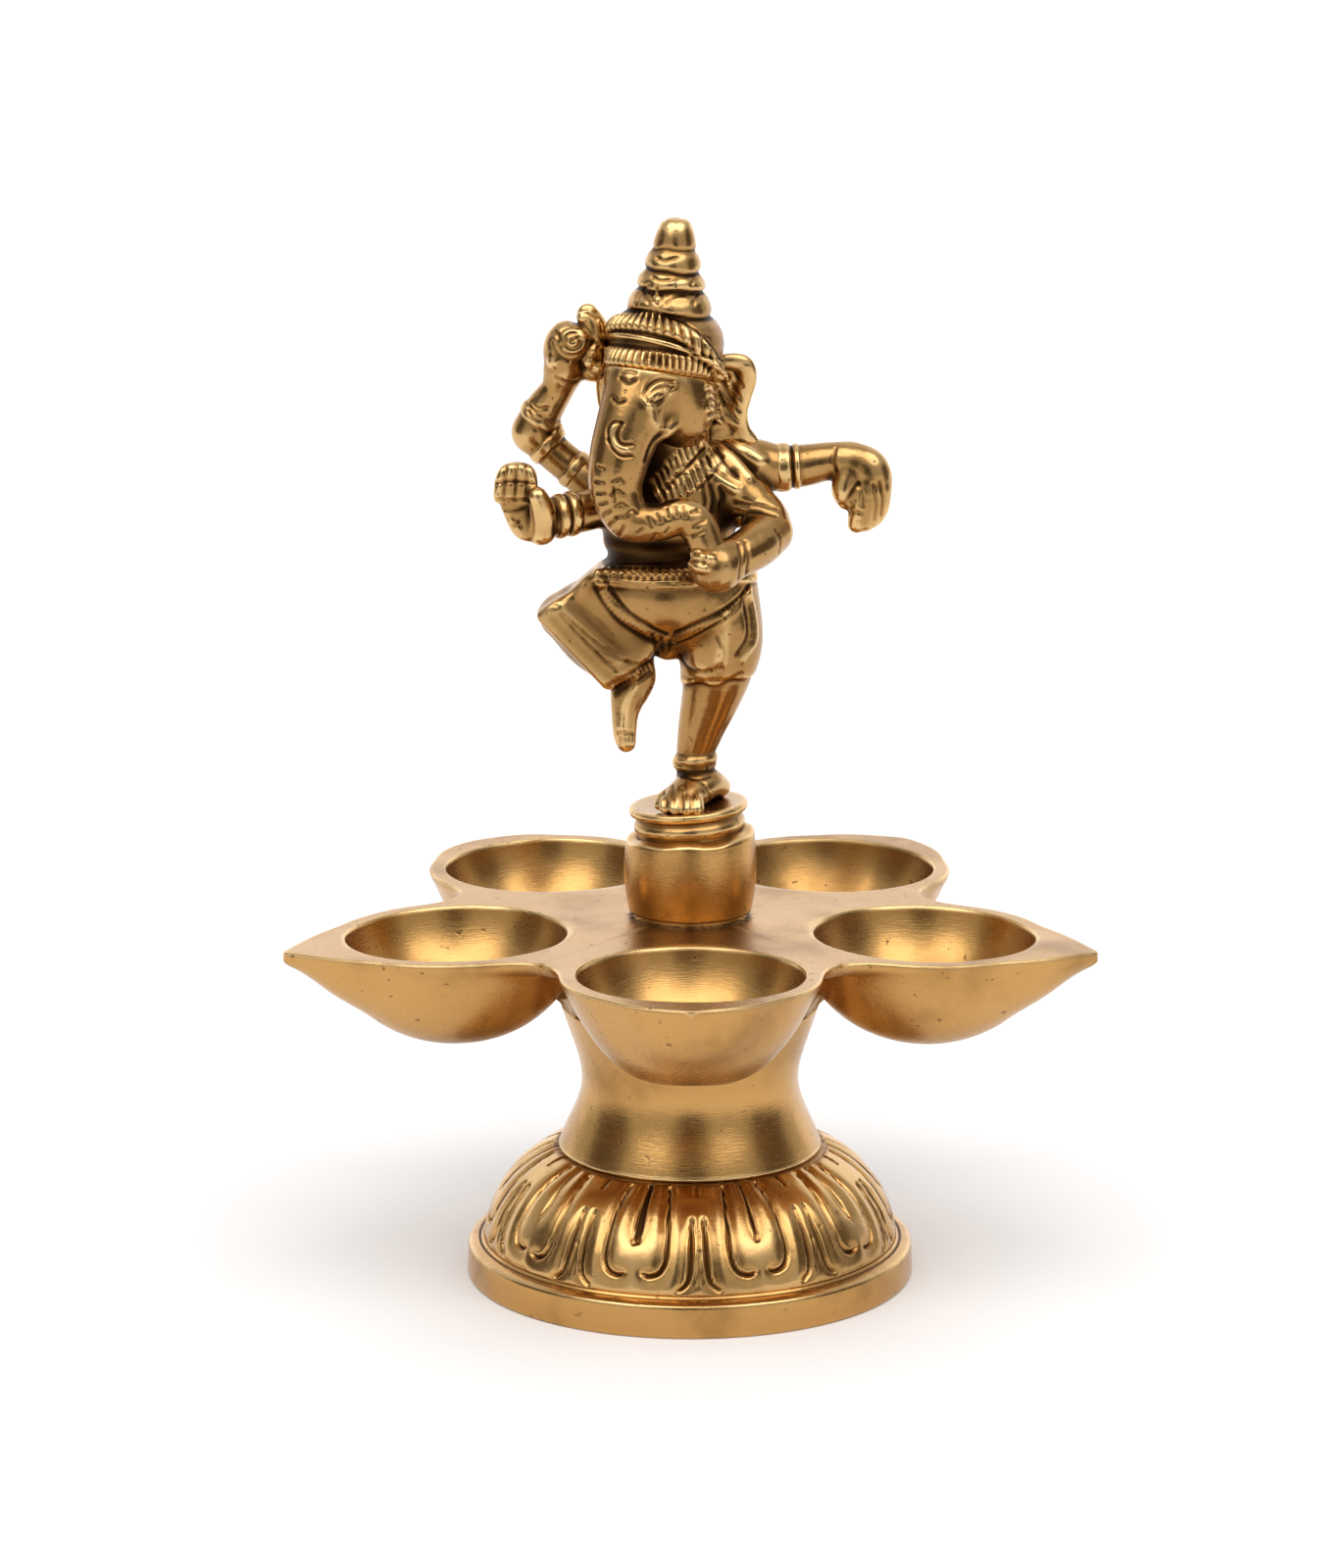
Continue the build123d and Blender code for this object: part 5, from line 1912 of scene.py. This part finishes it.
@dataclass
class FrontRightArm(Sculpt):
    """Arm with the open raised palm."""

    name: str = "front_right_arm_casting"
    node: str = "front_right_arm"
    low: Point = (-45.0, -18.5, 160.0)
    high: Point = (-16.5, 1.0, 183.5)

    def model(self) -> None:
        """Models the arm, its bangles and the hand."""
        arm = [(-19.0, -4.6, 169.4, 4.3), (-24.4, -6.8, 168.6, 4.4), (-28.6, -8.6, 168.0, 4.3),
               (-31.4, -9.8, 167.6, 4.3)]
        palm = [(-40.6, 173.4), (-39.2, 167.8), (-36.6, 163.7), (-33.2, 162.9), (-30.0, 163.6),
                (-29.2, 171.4), (-33.0, 174.8)]
        fingers = [(-41.3, 171.6), (-41.2, 177.2), (-40.2, 179.4), (-38.2, 180.6), (-35.2, 180.7),
                   (-32.8, 179.8), (-31.6, 176.8), (-32.4, 171.6)]
        thumb = [(-31.2, -12.2, 165.8, 3.1), (-30.9, -13.6, 169.8, 2.8), (-31.9, -14.4, 173.4, 2.1)]
        self.press(Limb(arm))
        self.press(Slab(palm, -13.6, -8.6, 2.0, -0.1), 1.2)
        self.press(Slab(fingers, -14.2, -10.4, 1.6, -0.08), 0.5)
        self.press(Limb(thumb, per_span=6), 0.4)
        self.soften()
        for bangle in ((-25.2, -7.2, 168.3), (-27.6, -8.208, 168.3)):
            self.ring(bangle, (0.9, 0.4, 0.05), 0.95, 0.42, 7.0)
        between_fingers = (
            [(84, 656), (82, 694), (78, 734)], [(110, 650), (109, 692), (106, 736)],
            [(136, 650), (136, 690), (132, 736)], [(62, 696), (100, 692), (150, 696)],
            [(62, 736), (100, 738), (140, 736)],
        )
        lines_of_palm = (
            [(100, 778), (112, 790), (124, 804)], [(104, 800), (118, 788)],
            [(146, 836), (152, 806), (148, 770), (142, 740)], [(80, 760), (104, 764), (128, 758)],
        )
        self.marks(between_fingers, 0.4, 0.55)
        self.marks(lines_of_palm, 0.32, 0.4)


@dataclass
class FrontLeftArm(Sculpt):
    """Arm whose hand holds the round sweet that the trunk reaches for."""

    name: str = "front_left_arm_casting"
    node: str = "front_left_arm"
    low: Point = (-2.0, -27.0, 150.5)
    high: Point = (26.0, 4.0, 177.0)

    def model(self) -> None:
        """Models the arm, the hand and the sweet."""
        upper = [(12.6, -2.0, 169.8, 5.0), (15.6, -4.2, 167.0, 5.0), (16.6, -6.4, 164.6, 4.9)]
        fore = [(16.6, -6.6, 164.4, 4.9), (14.0, -11.4, 162.8, 4.9), (10.6, -15.6, 161.4, 4.6),
                (8.2, -17.8, 160.6, 4.5)]
        fingers = ([(1.2, -21.8, 162.6, 1.4), (2.8, -23.4, 162.4, 1.3), (4.2, -24.2, 162.0, 1.1)],
                   [(0.6, -21.4, 160.4, 1.3), (1.8, -23.2, 160.2, 1.3), (3.2, -24.2, 160.0, 1.1)])
        self.press(Limb(upper))
        self.press(Limb(fore), 0.6)
        self.press(Oval((5.4, -19.3, 159.5), (5.6, 5.6, 5.5)), 1.2)
        for finger in fingers:
            self.press(Limb(finger, per_span=6), 0.6)
        self.soften()
        bangles_and_sleeve = (
            [(648, 842), (656, 880), (650, 930)], [(664, 836), (674, 878), (668, 916)],
            [(740, 812), (752, 838), (748, 866)], [(536, 870), (560, 862), (590, 868)],
            [(560, 846), (566, 868), (564, 890)], [(644, 772), (690, 766), (742, 776)],
            [(640, 756), (690, 748), (744, 758)],
        )
        self.marks(bangles_and_sleeve, 0.36, 0.42)


@dataclass
class BasePlate(Lathe):
    """Neck and round plate under the figure's foot, square to the drum's slanted top."""

    columns: int = 200
    seat: float = 97.5
    tilt: float = 4.0

    def outline(self) -> Array:
        """Gives the closed outline.

        Returns:
            Rows of radius, height above the drum and hollow share, the outside going up.
        """
        neck = [(10.9, -0.3, 0.9), (11.3, 0.4, 0.7), (11.4, 1.1, 0.5), (11.75, 1.7, 0.28), (11.95, 2.4, 0.18),
                (11.85, 3.2, 0.25), (11.5, 3.8, 0.5), (11.25, 4.2, 0.7)]
        plate = [(11.3, 4.6, 0.6), (11.8, 4.9, 0.4), (12.4, 5.2, 0.22), (12.75, 5.8, 0.1), (12.7, 6.5, 0.1),
                 (12.3, 6.9, 0.15), (11.4, 7.0, 0.3), (9.0, 6.9, 0.38), (6.0, 6.9, 0.42), (3.0, 7.0, 0.7),
                 (1.0, 7.0, 0.9)]
        return curve_through(np.array(neck + plate), 3)

    def shape(self, verts: Array, hollow: Array) -> None:
        """Sets the plate square to the slant.

        Args:
            verts: Grid of corners, rings by columns by three.
            hollow: Grid of hollow shares.
        """
        c, s = math.cos(math.radians(self.tilt)), math.sin(math.radians(self.tilt))
        x, z = verts[..., 0].copy(), verts[..., 2].copy()
        verts[..., 0] = x * c - z * s
        verts[..., 2] = self.seat + x * s + z * c
        np.clip(hollow, 0, 1, out=hollow)


def dress(name: str, finish: Material) -> None:
    """Gives a CAD node its finish.

    Args:
        name: Name of the node.
        finish: Its material.
    """
    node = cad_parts[name]
    node.data.materials.clear()
    node.data.materials.append(finish)
    log.info("%s: dressed in %s", name, finish.name)


def paper_sheet(name: str, corners: list[Point], paper: PaperFinish) -> bpy.types.Object:
    """Cuts one flat sheet of studio paper.

    Args:
        name: Name of the sheet.
        corners: Its four corners.
        paper: Its finish.

    Returns:
        The new object.
    """
    mesh = bpy.data.meshes.new(name)
    mesh.from_pydata([[c * MM for c in corner] for corner in corners], [], [(0, 1, 2, 3)])
    mesh.materials.append(paper.material())
    sheet = bpy.data.objects.new(name, mesh)
    bpy.context.scene.collection.objects.link(sheet)
    return sheet


@dataclass(frozen=True)
class SoftLight:
    """A broad light, far enough away to be even over the whole sweep.

    It stands some degrees to the right of the camera's side of the lamp and above the floor, looks some
    degrees wide from the lamp, and has a power in watts per square metre.
    """

    name: str
    side: float
    up: float
    wide: float
    power: float

    def build(self) -> None:
        """Adds the light."""
        light = bpy.data.lights.new(self.name, "SUN")
        light.angle = math.radians(self.wide)
        light.energy = self.power
        holder = bpy.data.objects.new(self.name, light)
        holder.rotation_euler = (math.radians(90.0 - self.up), 0.0, math.radians(self.side))
        bpy.context.scene.collection.objects.link(holder)


@dataclass(frozen=True)
class Card:
    """An upright card outside the picture, which only the polished brass mirrors, turned by some degrees."""

    name: str
    place: Point
    wide: float
    high: float
    turn: float
    tone: str
    glow: float = 0.0

    def build(self) -> None:
        """Adds the card."""
        w, h = self.wide / 2, self.high / 2
        paper = PaperFinish(self.name + "_paper", self.tone, self.glow)
        card = paper_sheet(self.name, [(-w, 0, -h), (w, 0, -h), (w, 0, h), (-w, 0, h)], paper)
        card.location = [c * MM for c in self.place]
        card.rotation_euler[2] = math.radians(self.turn)
        card.visible_camera = card.visible_shadow = card.visible_diffuse = False


@dataclass
class Studio:
    """Pale sweep, soft lights and cards round the lamp, as in a product photograph."""

    floor_half: float = 30000.0
    floor_tone: str = "#fbfafa"
    sky: float = 0.62
    sky_tone: str = "#ffffff"
    lights: tuple[SoftLight, ...] = (
        SoftLight("key_light", -38.0, 56.0, 46.0, 1.05),
        SoftLight("fill_light", 42.0, 56.0, 46.0, 1.05),
        SoftLight("back_light", 170.0, 40.0, 60.0, 0.25),
    )
    cards: tuple[Card, ...] = (
        Card("front_card", (30.0, -1500.0, 420.0), 720.0, 1000.0, 0.0, "#3a332c"),
        Card("left_card", (-1400.0, -150.0, 420.0), 1000.0, 1000.0, -84.0, "#5c534a"),
        Card("right_card", (1400.0, -150.0, 420.0), 1000.0, 1000.0, 84.0, "#5c534a"),
        Card("back_card", (0.0, 1900.0, 560.0), 5200.0, 1500.0, 0.0, "#ffffff", 0.16),
    )

    def build(self) -> None:
        """Adds the floor, the even white light of the room, the lights and the cards."""
        h = self.floor_half
        # Sweep: matt white paper, which runs on as a background without a horizon
        paper = PaperFinish("matt_white_paper_sweep", self.floor_tone)
        floor = paper_sheet("studio_floor", [(-h, -h, 0), (h, -h, 0), (h, h, 0), (-h, h, 0)], paper)
        world = bpy.data.worlds.new("studio_white")
        world.use_nodes = True
        room = world.node_tree.nodes["Background"]
        room.inputs["Color"].default_value = srgb(self.sky_tone)
        room.inputs["Strength"].default_value = self.sky
        bpy.context.scene.world = world
        for piece in (*self.lights, *self.cards):
            piece.build()
        shown = bpy.context.scene.view_settings
        shown.view_transform = "Standard"
        shown.look = "None"


def main() -> None:
    """Builds the lamp from the foot up, then the studio and the camera."""
    # Foot: sand-cast brass, chiselled and rubbed, so petals shine between brown grooves
    carved = BrassFinish("cast_brass_chiselled_and_rubbed", dent_depth=0.7, line_depth=0.25).material()
    # Column and drum: cast brass skimmed on a lathe, so fine rings run round them through the tarnish
    turned = BrassFinish("cast_brass_turned_on_a_lathe", line_depth=0.8, dent_depth=0.25).material()
    # Tray: cast brass, filed flat and buffed, so its top is pale and satin with pits and scratches
    tray = BrassFinish("cast_brass_filed_and_buffed", line_depth=0.7, dent_depth=0.35, smooth=0.24,
                       pit_share=0.55).material()
    # Figure: lost-wax brass, rubbed by hand, dark in every cut and bright on every swelling, with painted
    # shade darkening its corners and recesses
    cast = BrassFinish(
        "cast_brass_lost_wax_rubbed", tone="#ab834f", bright="#dcb67c", patina="#6a4824", line_depth=0.12,
        rough=0.45, pit_mm=1.8, pit_share=0.7, dirt_and_shade_from=0.555, soot_and_shade_from=0.64, dent_mm=3.6,
    ).material()
    # Rod, nut and washer: zinc-plated steel, a grey satin that damp has spotted
    steel = SteelFinish().material()
    LotusFoot("lotus_foot_carving", "lotus_foot", "carved_brass", Body.LAMP).build(carved)
    Column("column_turning", "column", "turned_brass", Body.LAMP).build(turned)
    BowlTray().build(tray)
    Drum("drum_block", "drum", "turned_brass", Body.FIGURE).build(turned)
    for name in ("tie_rod", "clamp_washer", "clamp_nut"):
        dress(name, steel)
    dress("seat_washer", turned)
    BasePlate("figure_base_plate", "", "figure_brass", Body.FIGURE).build(cast)
    for part in (FigureBody, FigureHead, FigureCrown, RearLeftArm, RearRightArm, FrontRightArm, FrontLeftArm):
        part().build(cast)
    Studio().build()
    CAMERA.build()


if __name__ == "__main__":
    logging.basicConfig(level=logging.INFO, format="%(name)s: %(message)s")
    main()
